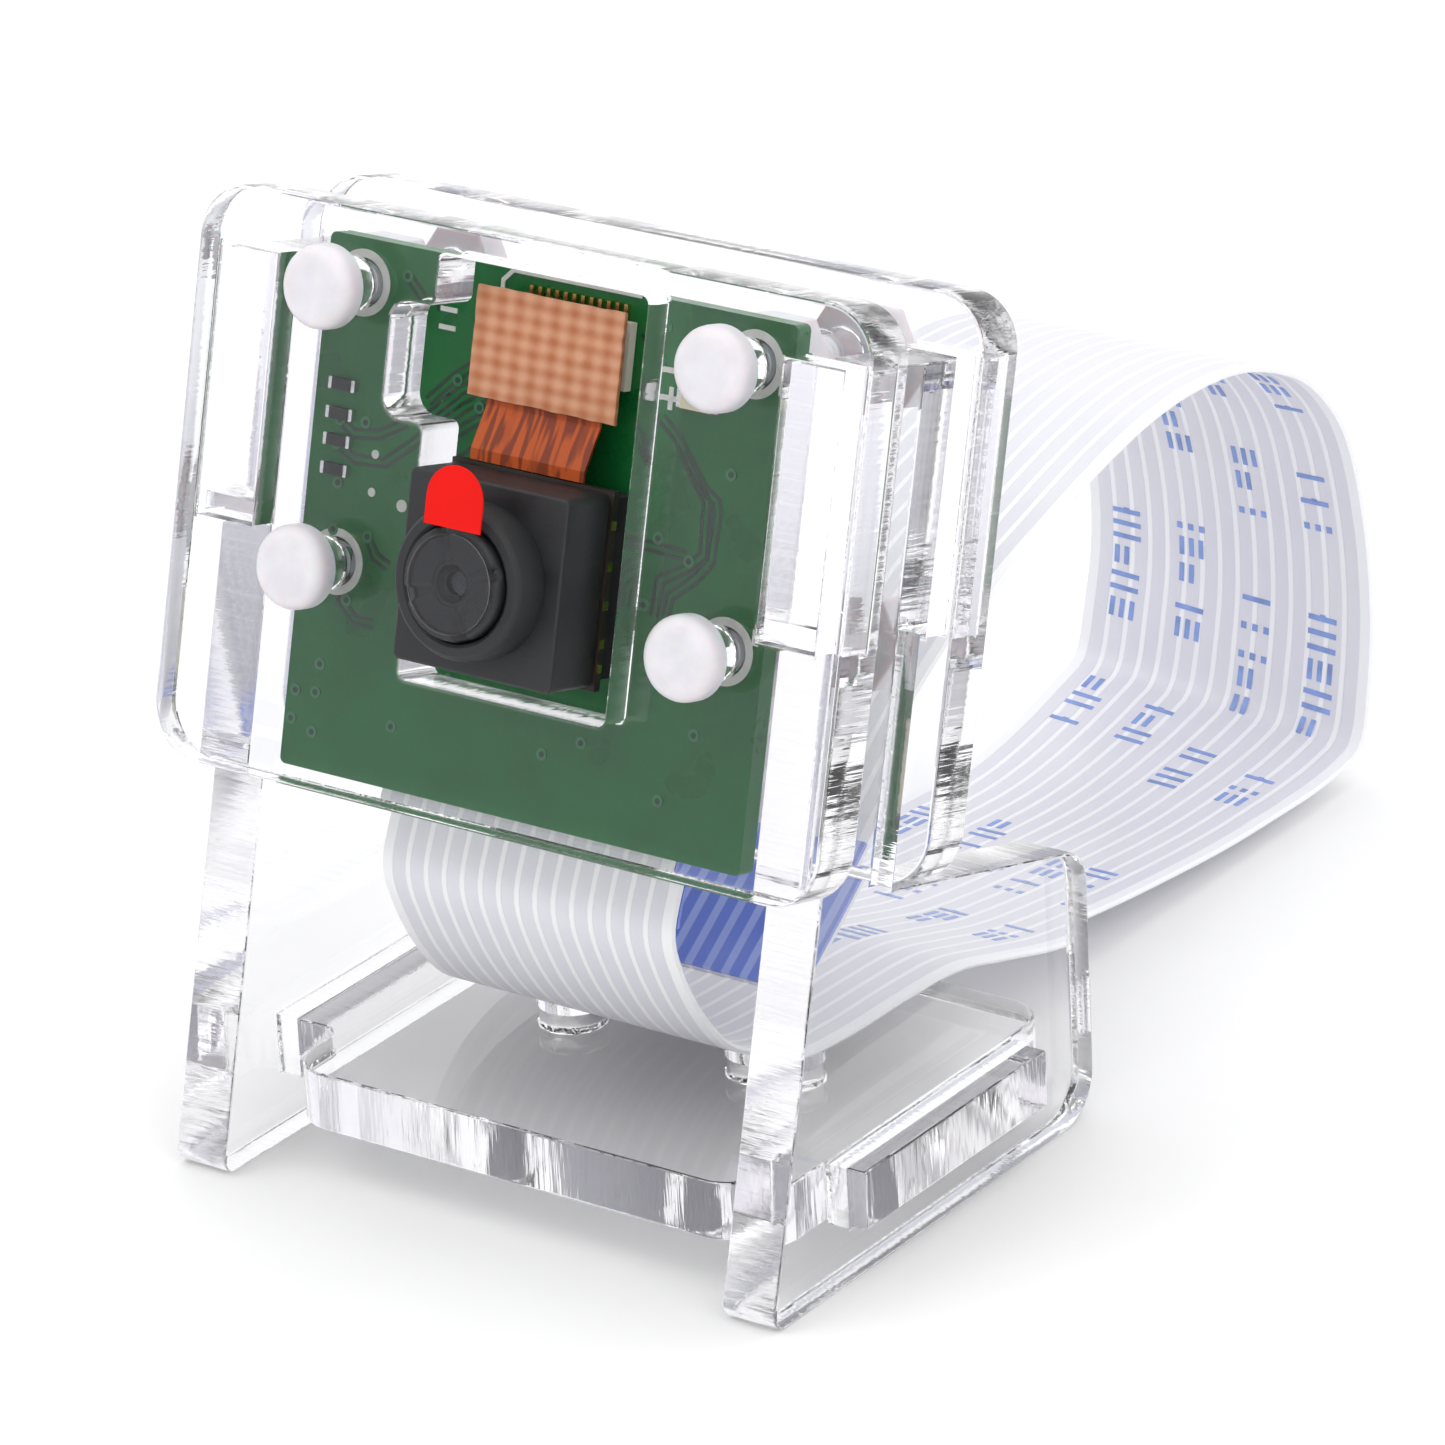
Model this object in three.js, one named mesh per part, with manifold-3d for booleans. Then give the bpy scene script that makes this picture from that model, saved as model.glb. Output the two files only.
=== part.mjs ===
// A desk holder for a small camera board: two clear acrylic plates sandwich the board, two legs
// plug through both plates and lean them back, and a base plate ties the legs together.
// A flat ribbon cable leaves the board, loops behind the holder and comes back under the plates.
//
// Millimetres. X runs across the holder, the camera looks towards -Y, and +Z is up.
// The origin is on the resting surface, below the middle of the legs.
import * as THREE from "three";
import Module from "manifold-3d";

const manifold = await Module();
manifold.setup();

// ---- driving dimensions ----
const TILT = THREE.MathUtils.degToRad(15); // the plates lean back from upright
const ACRYLIC = 2.8; // thickness of every acrylic plate
const PLATE_WIDTH = 36;
const PLATE_HEIGHT = 26;
const PLATE_CORNER = 2.5;
const PLATE_GAP = 5.7; // clear space between the two plates, filled by the necks of the legs
const HEAD_Y = -7.24; // middle of the front plate's face, behind the origin
const HEAD_Z = 31.85; // and above the resting surface

const LEG_OUTER_X = 16.5; // outer face of a leg from the middle plane
const LEG_TAB_LOW = -1.8; // the tabs on the necks, measured up the plates from their middle
const LEG_TAB_HIGH = 10.2;
const TAB_RECESS = 0.3; // tabs stop short of the plates' outer faces
const SLIP = 0.05; // gap between pieces that only touch
const SLOT_PLAY = 0.12; // play of a tab in its slot

const BOARD_WIDTH = 25;
const BOARD_HEIGHT = 24;
const BOARD_THICKNESS = 1.0;
const BOARD_FRONT = 3.55; // depth of the board's front face behind the front plate's face
const BOARD_MIDDLE = -0.63; // the board sits a little low on the plates
const HOLE_X = 10.5; // screw holes from the middle plane
const HOLE_V = [10, -2.5]; // screw rows above the board's middle

const SCREW_RADIUS = 0.95;
const SCREW_HOLE_RADIUS = 1.15;
const SCREW_HEAD_RADIUS = 1.9;
const SCREW_HEAD_HEIGHT = 1.3;
const SCREW_LENGTH = 14;
const NUT_FLATS = 4;
const NUT_HEIGHT = 1.6;

const LENS_X = 0.35; // optical axis across the plate
const LENS_V = -1.55; // and up from the plate's middle
const HOUSING_SIZE = 8.5;
const HOUSING_FRONT = -1.8; // depth of the housing's face; negative is in front of the plate
const HOUSING_BACK = 1.3;
const BOSS_RADIUS = 3.4;
const BOSS_FRONT = -3.6;
const BARREL_RADIUS = 2.55;
const BARREL_FRONT = -4.0;

const RIBBON_WIDTH = 16;
const RIBBON_THICKNESS = 0.3;
const STIFFENER_THICKNESS = 0.2;
const STIFFENER_LENGTH = 8;
const RIBBON_SEGMENTS = 190;

const BOARD_BACK = BOARD_FRONT + BOARD_THICKNESS;
const BACK_PLATE_FRONT = ACRYLIC + PLATE_GAP;
const BACK_PLATE_BACK = BACK_PLATE_FRONT + ACRYLIC;
const LEG_INNER_X = LEG_OUTER_X - ACRYLIC;
const FOOT_TOP_V = -PLATE_HEIGHT / 2 - SLIP; // the back plate stands on the feet here

// ---- materials ----
function material(colour, roughness, metalness = 0, opacity = 1) {
  return new THREE.MeshStandardMaterial({
    color: colour,
    roughness,
    metalness,
    opacity,
    transparent: opacity < 1,
  });
}
const acrylic = material("#eef1f4", 0.05, 0, 0.35);
const nylon = material("#f2f1ee", 0.45);
const solderMask = material("#1d6b3c", 0.4);
const blackPlastic = material("#1c1c1f", 0.5);
const chipBlack = material("#26262a", 0.6);
const glass = material("#5a6472", 0.05, 0, 0.35);
const filterGlass = material("#a9c4c9", 0.05, 0, 0.35);
const silicon = material("#3a3f52", 0.2, 0.3);
const foam = material("#2b2b2b", 0.95);
const film = material("#d7dadd", 0.1, 0, 0.35);
const filmRed = material("#f0221d", 0.45);
const polyimide = material("#b5561a", 0.4);
const copper = material("#d79a72", 0.5, 0.2);
const ivory = material("#e9e2d0", 0.5);
const silver = material("#c9ccd0", 0.3, 0.9);
const ledWhite = material("#efe6c9", 0.4);
const ribbonWhite = material("#eceef1", 0.45);
const stiffenerBlue = material("#3f63c4", 0.4);

// ---- solids: three.js geometry to a manifold-3d solid and back ----
function solid(geometry) {
  const flat = geometry.index ? geometry.toNonIndexed() : geometry;
  const corners = flat.getAttribute("position").array;
  const keys = new Map();
  const vertices = [];
  const triangles = new Uint32Array(corners.length / 3);
  for (let i = 0; i < triangles.length; i++) {
    const xyz = [corners[3 * i], corners[3 * i + 1], corners[3 * i + 2]];
    const key = xyz.map((c) => Math.round(c * 1e4)).join();
    if (!keys.has(key)) {
      keys.set(key, vertices.length / 3);
      vertices.push(...xyz);
    }
    triangles[i] = keys.get(key);
  }
  return new manifold.Manifold(
    new manifold.Mesh({ numProp: 3, vertProperties: new Float32Array(vertices), triVerts: triangles }),
  );
}

function geometryOf(body) {
  const data = body.getMesh();
  const geometry = new THREE.BufferGeometry();
  geometry.setAttribute("position", new THREE.BufferAttribute(new Float32Array(data.vertProperties), 3));
  geometry.setIndex(new THREE.BufferAttribute(new Uint32Array(data.triVerts), 1));
  geometry.computeVertexNormals();
  return geometry;
}

function cut(geometry, ...tools) {
  return geometryOf(tools.reduce((body, tool) => body.subtract(solid(tool)), solid(geometry)));
}

function join(...geometries) {
  return geometryOf(geometries.map(solid).reduce((body, next) => body.add(next)));
}

// ---- shapes ----
// A closed outline through corners [x, y, radius], each rounded by an arc of its radius.
function outline(corners) {
  const path = new THREE.Shape();
  corners.forEach(([x, y, radius = 0], i) => {
    const corner = new THREE.Vector2(x, y);
    const before = new THREE.Vector2(...corners.at(i - 1)).sub(corner).normalize();
    const after = new THREE.Vector2(...corners[(i + 1) % corners.length]).sub(corner).normalize();
    const half = Math.acos(THREE.MathUtils.clamp(before.dot(after), -1, 1)) / 2;
    const reach = radius / Math.tan(half);
    const start = corner.clone().addScaledVector(before, reach);
    if (i === 0) path.moveTo(start.x, start.y);
    else path.lineTo(start.x, start.y);
    if (radius > 0) {
      const inward = before.clone().add(after).normalize();
      const centre = corner.clone().addScaledVector(inward, radius / Math.sin(half));
      const end = corner.clone().addScaledVector(after, reach);
      const from = start.clone().sub(centre).angle();
      const to = end.clone().sub(centre).angle();
      path.absarc(centre.x, centre.y, radius, from, to, before.cross(after) > 0);
    }
  });
  path.closePath();
  return path;
}

function rectangle(lowX, lowY, highX, highY, radius = 0) {
  const corners = [
    [lowX, lowY, radius],
    [highX, lowY, radius],
    [highX, highY, radius],
    [lowX, highY, radius],
  ];
  return outline(corners);
}

function extrude(shape, depth, curveSegments = 8) {
  return new THREE.ExtrudeGeometry(shape, { depth, bevelEnabled: false, curveSegments });
}

// The head's own frame: x across, y up the plates, z out of their front faces.
// A depth d behind the front plate's face is z = -d there.
function layer(shape, front, thickness, curveSegments) {
  return extrude(shape, thickness, curveSegments).translate(0, 0, -front - thickness);
}

function block(x, v, front, width, height, thickness) {
  return new THREE.BoxGeometry(width, height, thickness).translate(x, v, -front - thickness / 2);
}

function post(x, v, front, back, radius, sides = 24) {
  const geometry = new THREE.CylinderGeometry(radius, radius, back - front, sides);
  return geometry.rotateX(Math.PI / 2).translate(x, v, -(front + back) / 2);
}

// A point of the head at height v up the plates and depth d, as [y, z] of the whole part.
function sidePoint(v, d) {
  const sin = Math.sin(TILT);
  const cos = Math.cos(TILT);
  return [HEAD_Y + v * sin + d * cos, HEAD_Z + v * cos - d * sin];
}

// Extrudes a side view, drawn as (y, z), along X from one x to another.
function sideExtrude(shape, lowX, highX, curveSegments) {
  const toSide = new THREE.Matrix4().makeBasis(
    new THREE.Vector3(0, 1, 0),
    new THREE.Vector3(0, 0, 1),
    new THREE.Vector3(1, 0, 0),
  );
  return extrude(shape, highX - lowX, curveSegments).applyMatrix4(toSide).translate(lowX, 0, 0);
}

function place(group, name, geometry, look) {
  const mesh = new THREE.Mesh(geometryOf(solid(geometry)), look);
  mesh.name = name;
  group.add(mesh);
  return mesh;
}

const holder = new THREE.Group();
const head = new THREE.Group();
head.position.set(0, HEAD_Y, HEAD_Z);
head.rotation.x = Math.PI / 2 - TILT;
holder.add(head);

const screwPlaces = [-1, 1].flatMap((side) => HOLE_V.map((v) => [side * HOLE_X, BOARD_MIDDLE + v]));

// ---- acrylic plates ----
// A rounded plate with its two leg slots and four screw holes, its front face at the given depth.
function slottedPlate(front, ...tools) {
  const halfWidth = PLATE_WIDTH / 2;
  const halfHeight = PLATE_HEIGHT / 2;
  const blank = rectangle(-halfWidth, -halfHeight, halfWidth, halfHeight, PLATE_CORNER);
  const slotX = (LEG_INNER_X + LEG_OUTER_X) / 2;
  const slotV = (LEG_TAB_LOW + LEG_TAB_HIGH) / 2;
  const slotWidth = ACRYLIC + 2 * SLOT_PLAY;
  const slotHeight = LEG_TAB_HIGH - LEG_TAB_LOW + 2 * SLOT_PLAY;
  const slots = [-1, 1].map((side) =>
    block(side * slotX, slotV, front - 1, slotWidth, slotHeight, ACRYLIC + 2),
  );
  const holes = screwPlaces.map(([x, v]) => post(x, v, front - 1, front + ACRYLIC + 1, SCREW_HOLE_RADIUS));
  return cut(layer(blank, front, ACRYLIC, 8), ...slots, ...holes, ...tools);
}

// The window frames the sensor and its flex, with a bay on the left that clears parts of the board.
function sensorWindow() {
  const [left, right, bottom, top] = [-4.8, 6.3, -7.1, 11.7];
  const [bayLeft, bayBottom, bayTop] = [-7.1, 4.2, 9.4];
  const corners = [
    [left, bottom, 0.4],
    [right, bottom, 0.4],
    [right, top, 0.4],
    [left, top, 0.4],
    [left, bayTop, 0.4],
    [bayLeft, bayTop, 1],
    [bayLeft, bayBottom, 1],
    [left, bayBottom, 0.4],
  ];
  return layer(outline(corners), -1, ACRYLIC + 2, 6);
}

// ---- legs and base ----
const BASE = {
  front: -10.7,
  back: 11.3,
  tabFront: -6.63,
  tabBack: 7.61,
  halfWidth: 12.5,
  tabHalf: 16.2,
  shift: 1.1,
  bottom: 2.6,
};
const [FOOT_TIP_Y] = sidePoint(-(HEAD_Z - ACRYLIC * Math.sin(TILT)) / Math.cos(TILT), ACRYLIC);
const FOOT_BACK_Y = 12.63;

function leg(side) {
  const front = ACRYLIC + SLIP;
  const back = BACK_PLATE_FRONT - SLIP;
  // Where the sloping top of the foot reaches the upright back edge.
  const heelDepth = (FOOT_BACK_Y - HEAD_Y - FOOT_TOP_V * Math.sin(TILT)) / Math.cos(TILT);
  const corners = [
    [FOOT_TIP_Y, 0, 0.8],
    [FOOT_BACK_Y, 0, 2.4],
    [...sidePoint(FOOT_TOP_V, heelDepth), 2],
    [...sidePoint(FOOT_TOP_V, back), 0],
    [...sidePoint(LEG_TAB_LOW, back), 0],
    [...sidePoint(LEG_TAB_LOW, BACK_PLATE_BACK - TAB_RECESS), 0],
    [...sidePoint(LEG_TAB_HIGH, BACK_PLATE_BACK - TAB_RECESS), 0],
    [...sidePoint(LEG_TAB_HIGH, TAB_RECESS), 0],
    [...sidePoint(LEG_TAB_LOW, TAB_RECESS), 0],
    [...sidePoint(LEG_TAB_LOW, front), 0],
  ];
  const profile = outline(corners);
  const slot = [BASE.tabFront - SLOT_PLAY, BASE.bottom - SLIP, BASE.tabBack + SLOT_PLAY];
  const slotTool = rectangle(...slot, BASE.bottom + ACRYLIC + SLIP);
  const inner = side * LEG_INNER_X;
  const outer = side * LEG_OUTER_X;
  const [low, high] = [Math.min(inner, outer), Math.max(inner, outer)];
  return cut(sideExtrude(profile, low, high, 8), sideExtrude(slotTool, low - 1, high + 1));
}

// The base is a cross: its tabs plug into the legs, and it has slid a little to the right in them.
function basePlate() {
  const { front, back, tabFront, tabBack, halfWidth, tabHalf, shift, bottom } = BASE;
  const corners = [
    [-halfWidth, front, 2],
    [halfWidth, front, 2],
    [halfWidth, tabFront, 0],
    [tabHalf, tabFront, 0],
    [tabHalf, tabBack, 0],
    [halfWidth, tabBack, 0],
    [halfWidth, back, 2],
    [-halfWidth, back, 2],
    [-halfWidth, tabBack, 0.9],
    [-tabHalf, tabBack, 0],
    [-tabHalf, tabFront, 0],
    [-halfWidth, tabFront, 0.9],
  ];
  const blank = extrude(outline(corners), ACRYLIC, 8).translate(shift, 0, bottom);
  const holes = [-1, 1].map((side) => {
    const hole = new THREE.CylinderGeometry(1.55, 1.55, 2 * ACRYLIC, 32).rotateX(Math.PI / 2);
    return hole.translate(shift + side * 5.2, 1.2, bottom + ACRYLIC / 2);
  });
  return cut(blank, ...holes);
}

place(head, "front_plate", slottedPlate(0, sensorWindow()), acrylic);
place(head, "back_plate", slottedPlate(BACK_PLATE_FRONT), acrylic);
place(holder, "left_leg", leg(-1), acrylic);
place(holder, "right_leg", leg(1), acrylic);
place(holder, "base_plate", basePlate(), acrylic);

// ---- nylon screws and nuts ----
function screw(x, v) {
  const face = SCREW_HEAD_RADIUS * 0.55;
  const points = [
    [0, SCREW_HEAD_HEIGHT],
    [face, SCREW_HEAD_HEIGHT],
    [SCREW_HEAD_RADIUS * 0.82, SCREW_HEAD_HEIGHT * 0.9],
    [SCREW_HEAD_RADIUS * 0.96, SCREW_HEAD_HEIGHT * 0.68],
    [SCREW_HEAD_RADIUS, SCREW_HEAD_HEIGHT * 0.4],
    [SCREW_HEAD_RADIUS, SLIP],
    [SCREW_RADIUS, SLIP],
    [SCREW_RADIUS, -SCREW_LENGTH + 0.3],
    [SCREW_RADIUS - 0.3, -SCREW_LENGTH],
    [0, -SCREW_LENGTH],
  ];
  const profile = points.reverse().map(([radius, height]) => new THREE.Vector2(radius, height));
  return new THREE.LatheGeometry(profile, 24).rotateX(Math.PI / 2).translate(x, v, 0);
}

function nut(x, v, front) {
  const corners = Array.from({ length: 6 }, (_, i) => {
    const angle = (i * Math.PI) / 3;
    const radius = NUT_FLATS / Math.sqrt(3);
    return [x + radius * Math.cos(angle), v + radius * Math.sin(angle), 0.15];
  });
  const bore = post(x, v, front - 1, front + NUT_HEIGHT + 1, SCREW_RADIUS + SLIP);
  return cut(layer(outline(corners), front, NUT_HEIGHT, 3), bore);
}

screwPlaces.forEach(([x, v], i) => {
  place(head, `screw_${i + 1}`, screw(x, v), nylon);
  place(head, `board_nut_${i + 1}`, nut(x, v, BOARD_BACK + SLIP), nylon);
  place(head, `back_nut_${i + 1}`, nut(x, v, BACK_PLATE_BACK + SLIP), nylon);
});

// ---- camera board ----
function cameraBoard() {
  const low = BOARD_MIDDLE - BOARD_HEIGHT / 2;
  const board = rectangle(-BOARD_WIDTH / 2, low, BOARD_WIDTH / 2, low + BOARD_HEIGHT, 0.3);
  const holes = screwPlaces.map(([x, v]) => post(x, v, BOARD_FRONT - 1, BOARD_BACK + 1, 1.1));
  return cut(layer(board, BOARD_FRONT, BOARD_THICKNESS, 4), ...holes);
}

// ---- camera module: housing, lens barrel, lens, filter and sensor ----
const CAVITY_DEPTH = -0.5; // the housing's inner ceiling, under the lens bore
function sensorHousing() {
  const deep = HOUSING_BACK - HOUSING_FRONT;
  const body = block(LENS_X, LENS_V, HOUSING_FRONT, HOUSING_SIZE, HOUSING_SIZE, deep);
  const boss = post(LENS_X, LENS_V, BOSS_FRONT, HOUSING_FRONT + 0.2, BOSS_RADIUS, 40);
  const bore = post(LENS_X, LENS_V, BOSS_FRONT - 1, CAVITY_DEPTH + 0.2, BARREL_RADIUS + SLIP, 40);
  const cavity = block(LENS_X, LENS_V, CAVITY_DEPTH, 6.4, 6.4, 3);
  return cut(join(body, boss), bore, cavity);
}

function lensBarrel() {
  const [front, back] = [BARREL_FRONT, -1.4];
  const points = [
    [0.62, -front - 0.35],
    [0.8, -front],
    [BARREL_RADIUS - 0.3, -front],
    [BARREL_RADIUS, -front - 0.3],
    [BARREL_RADIUS, -back],
    [1.6, -back],
    [1.6, -front - 0.7],
    [0.62, -front - 0.7],
    [0.62, -front - 0.35],
  ];
  const profile = points.map(([radius, height]) => new THREE.Vector2(radius, height)).reverse();
  return new THREE.LatheGeometry(profile, 40).rotateX(Math.PI / 2).translate(LENS_X, LENS_V, 0);
}

function lens() {
  const front = -BARREL_FRONT - 0.7 - SLIP;
  const points = [
    [0, front - 1.1],
    [1.5, front - 1.1],
    [1.5, front - 0.1],
    [0.6, front - 0.02],
    [0, front],
  ];
  const profile = points.map(([radius, height]) => new THREE.Vector2(radius, height));
  return new THREE.LatheGeometry(profile, 24).rotateX(Math.PI / 2).translate(LENS_X, LENS_V, 0);
}

function lensFilm() {
  const disc = new THREE.Shape();
  disc.absarc(LENS_X, LENS_V, 2.2, 0, 2 * Math.PI, false);
  return layer(disc, BARREL_FRONT - 0.13, 0.08, 24);
}

// The pull tab stands in front of the film, runs up past the barrel and ends in a half round.
function pullTab() {
  const [halfWidth, low, high] = [1.5, 0.9, 3.65];
  const tab = new THREE.Shape();
  tab.moveTo(LENS_X - halfWidth, low);
  tab.lineTo(LENS_X + halfWidth, low);
  tab.lineTo(LENS_X + halfWidth, high - halfWidth);
  tab.absarc(LENS_X, high - halfWidth, halfWidth, 0, Math.PI, false);
  tab.closePath();
  return layer(tab, BARREL_FRONT - 0.27, 0.1, 12);
}

place(head, "camera_board", cameraBoard(), solderMask);
place(head, "sensor_housing", sensorHousing(), blackPlastic);
place(head, "lens_barrel", lensBarrel(), blackPlastic);
place(head, "lens_element", lens(), glass);
place(head, "lens_film", lensFilm(), film);
place(head, "film_pull_tab", pullTab(), filmRed);
place(head, "ir_filter", block(LENS_X, LENS_V, 0, 5.6, 5.6, 0.3), filterGlass);
place(head, "image_sensor", block(LENS_X, LENS_V, 0.75, 5.6, 5.2, 0.5), silicon);
place(head, "sensor_substrate", block(LENS_X, LENS_V, HOUSING_BACK + SLIP, 8.7, 8.8, 0.4), polyimide);
place(head, "foam_pad", block(LENS_X, LENS_V, 1.8, 8, 8, BOARD_FRONT - 1.8 - SLIP), foam);

// ---- sensor flex and its board connector ----
const FLEX_X = -0.1;
const FLEX_THICKNESS = 0.12;
const CONNECTOR = { v: 8, width: 7.9, height: 4.9, back: 2.25 };

// The flex leaves the substrate's top edge, slopes back and lies flat under the stiffener.
function sensorFlex() {
  const bottom = LENS_V + 4.4 + SLIP;
  const start = HOUSING_BACK + 0.15;
  const flat = CONNECTOR.v - CONNECTOR.height / 2 - 0.3;
  const top = CONNECTOR.v + CONNECTOR.height / 2 - 0.2;
  const front = CONNECTOR.back + SLIP;
  const side = new THREE.Shape();
  side.moveTo(start, bottom);
  side.lineTo(start + FLEX_THICKNESS, bottom);
  side.lineTo(start + FLEX_THICKNESS, bottom + 0.5);
  side.lineTo(front + FLEX_THICKNESS, flat);
  side.lineTo(front + FLEX_THICKNESS, top);
  side.lineTo(front, top);
  side.lineTo(front, flat);
  side.lineTo(start, bottom + 0.5);
  side.closePath();
  // Drawn as (depth, v); turned so that depth runs along -z and the width along x.
  const width = 6.1;
  const turned = new THREE.Matrix4().makeBasis(
    new THREE.Vector3(0, 0, -1),
    new THREE.Vector3(0, 1, 0),
    new THREE.Vector3(1, 0, 0),
  );
  return extrude(side, width).applyMatrix4(turned).translate(FLEX_X - width / 2, 0, 0);
}

function flexStiffener() {
  const { v, width, height, back } = CONNECTOR;
  return block(FLEX_X, v, back - 0.25, width, height, 0.25);
}

function flexPlug() {
  const front = CONNECTOR.back + SLIP + FLEX_THICKNESS + SLIP;
  return block(FLEX_X, CONNECTOR.v + 0.4, front, 6.6, 2.2, 0.5);
}

function boardReceptacle() {
  const front = CONNECTOR.back + SLIP + FLEX_THICKNESS + SLIP + 0.5 + SLIP;
  return block(FLEX_X, CONNECTOR.v + 0.4, front, 7.2, 3, BOARD_FRONT - front - SLIP);
}

place(head, "sensor_flex", sensorFlex(), polyimide);
place(head, "flex_stiffener", flexStiffener(), copper);
place(head, "flex_plug", flexPlug(), chipBlack);
place(head, "board_receptacle", boardReceptacle(), ivory);

// ---- small parts on the front of the board ----
function onFront(x, v, width, height, tall) {
  return block(x, BOARD_MIDDLE + v, BOARD_FRONT - SLIP - tall, width, height, tall);
}
place(head, "status_led", onFront(8.1, 8, 1.6, 0.8, 0.6), ledWhite);
[5.4, 4.1, 2.9, 1.6].forEach((v, i) => {
  place(head, `resistor_${i + 1}`, onFront(-10.9, v, 1, 0.5, 0.35), chipBlack);
});

// ---- parts on the back of the board ----
function onBack(x, v, width, height, tall) {
  return block(x, BOARD_MIDDLE + v, BOARD_BACK + SLIP, width, height, tall);
}
place(head, "oscillator", onBack(-4.6, 6.2, 3.2, 2.5, 0.8), silver);
[-1, 1].forEach((side, i) => {
  place(head, `regulator_${i + 1}`, onBack(5.2 + 1.6 * side, 5.4, 1.7, 2.9, 1.1), chipBlack);
});
[-6.5, -3.5, 3.5, 6.5].forEach((x, i) => {
  place(head, `capacitor_${i + 1}`, onBack(x, 1.6, 1, 1.8, 0.7), copper);
});

// The ribbon socket opens downwards, and its latch slides down to let the ribbon go.
const SOCKET_WIDTH = 20;
const SOCKET_DEPTH = 2.4;
const SOCKET_TOP = BOARD_MIDDLE - 6.2;
const SOCKET_BOTTOM = BOARD_MIDDLE - 10.4;
const RIBBON_DEPTH = BOARD_BACK + 1.0; // depth of the ribbon's middle where it leaves the socket
const RIBBON_START_V = SOCKET_BOTTOM + 2.9;
const MOUTH_HALF = 0.55; // half the height of the socket's mouth

function ribbonSocket() {
  const body = layer(
    rectangle(-SOCKET_WIDTH / 2, SOCKET_BOTTOM, SOCKET_WIDTH / 2, SOCKET_TOP),
    BOARD_BACK + SLIP,
    SOCKET_DEPTH,
  );
  const middle = (SOCKET_BOTTOM + RIBBON_START_V) / 2 - 0.3;
  const reach = RIBBON_START_V - SOCKET_BOTTOM + 1.2;
  const mouth = block(0, middle, RIBBON_DEPTH - MOUTH_HALF, 16.6, reach, 2 * MOUTH_HALF);
  const latchRoom = block(0, SOCKET_BOTTOM + 0.7, RIBBON_DEPTH + 0.4, 17.6, 2.2, 0.75);
  return cut(body, mouth, latchRoom);
}

// A wedge bar behind the ribbon, with a lip below the socket and an ear at each end.
function ribbonLatch() {
  const wedge = block(0, SOCKET_BOTTOM + 0.75, RIBBON_DEPTH + 0.45, 17.2, 1.9, 0.6);
  const lip = block(0, SOCKET_BOTTOM - 0.45, RIBBON_DEPTH + 0.45, 20, 0.8, 1);
  const ears = [-1, 1].map((side) =>
    block(side * 9.4, SOCKET_BOTTOM - 0.45, BOARD_BACK + 0.35, 1.2, 0.8, 2),
  );
  return join(wedge, lip, ...ears);
}
place(head, "ribbon_socket", ribbonSocket(), ivory);
place(head, "ribbon_latch", ribbonLatch(), blackPlastic);

// ---- ribbon cable ----
// The middle line of the ribbon in side view, as [y, z], from inside the socket to the free end.
const RIBBON_ROUTE = [
  sidePoint(RIBBON_START_V, RIBBON_DEPTH),
  sidePoint(SOCKET_BOTTOM - 0.9, RIBBON_DEPTH),
  sidePoint(-14.4, 4.95),
  [-6.95, 14.7],
  [-6.5, 12.75],
  [-5.1, 10.05],
  [-3.1, 7.75],
  [-0.2, 6.4],
  [3.6, 5.95],
  [8.3, 5.85],
  [12.4, 5.6],
  [16.2, 4.6],
  [20.6, 3.4],
  [25.6, 2.6],
  [31.6, 1.9],
  [38, 1.45],
  [43.6, 1.7],
  [47.8, 2.3],
  [49.4, 2.9],
  [50.2, 5],
  [50.9, 9],
  [50.6, 13.6],
  [49.1, 18.6],
  [46.2, 22.1],
  [42.7, 24.1],
  [38.9, 25.2],
  [34, 25.4],
  [29.2, 24.7],
  [23.3, 23.1],
  [18.5, 21.5],
  [12.8, 18.4],
  [8.3, 15.2],
  [4.3, 12.2],
  [0.1, 9.3],
];

const ribbonCurve = new THREE.SplineCurve(RIBBON_ROUTE.map(([y, z]) => new THREE.Vector2(y, z)));
ribbonCurve.arcLengthDivisions = 1200;

// A strip beside the ribbon's middle line: from and to are lengths along it, and low and high are
// offsets to its right-hand side as it is followed from the socket.
function strip(from, to, low, high, width) {
  const length = ribbonCurve.getLength();
  const steps = Math.max(4, Math.round((RIBBON_SEGMENTS * (to - from)) / length));
  const edge = (offset) =>
    Array.from({ length: steps + 1 }, (_, i) => {
      const u = THREE.MathUtils.clamp((from + ((to - from) * i) / steps) / length, 0, 1);
      const point = ribbonCurve.getPointAt(u);
      const along = ribbonCurve.getTangentAt(u);
      return new THREE.Vector2(point.x + along.y * offset, point.y - along.x * offset);
    });
  const shape = new THREE.Shape([...edge(low), ...edge(high).reverse()]);
  return sideExtrude(shape, -width / 2, width / 2);
}

const half = RIBBON_THICKNESS / 2;
const ribbonLength = ribbonCurve.getLength();
const backing = [half + 0.03, half + 0.03 + STIFFENER_THICKNESS];
place(holder, "ribbon_cable", strip(0, ribbonLength, -half, half, RIBBON_WIDTH), ribbonWhite);
// The blue stiffeners back the contacts at both ends, on opposite faces of the ribbon.
place(
  holder,
  "ribbon_stiffener_board",
  strip(0.2, STIFFENER_LENGTH, -backing[1], -backing[0], RIBBON_WIDTH),
  stiffenerBlue,
);
place(
  holder,
  "ribbon_stiffener_free",
  strip(ribbonLength - STIFFENER_LENGTH, ribbonLength, backing[0], backing[1], RIBBON_WIDTH),
  stiffenerBlue,
);

export default holder;
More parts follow.
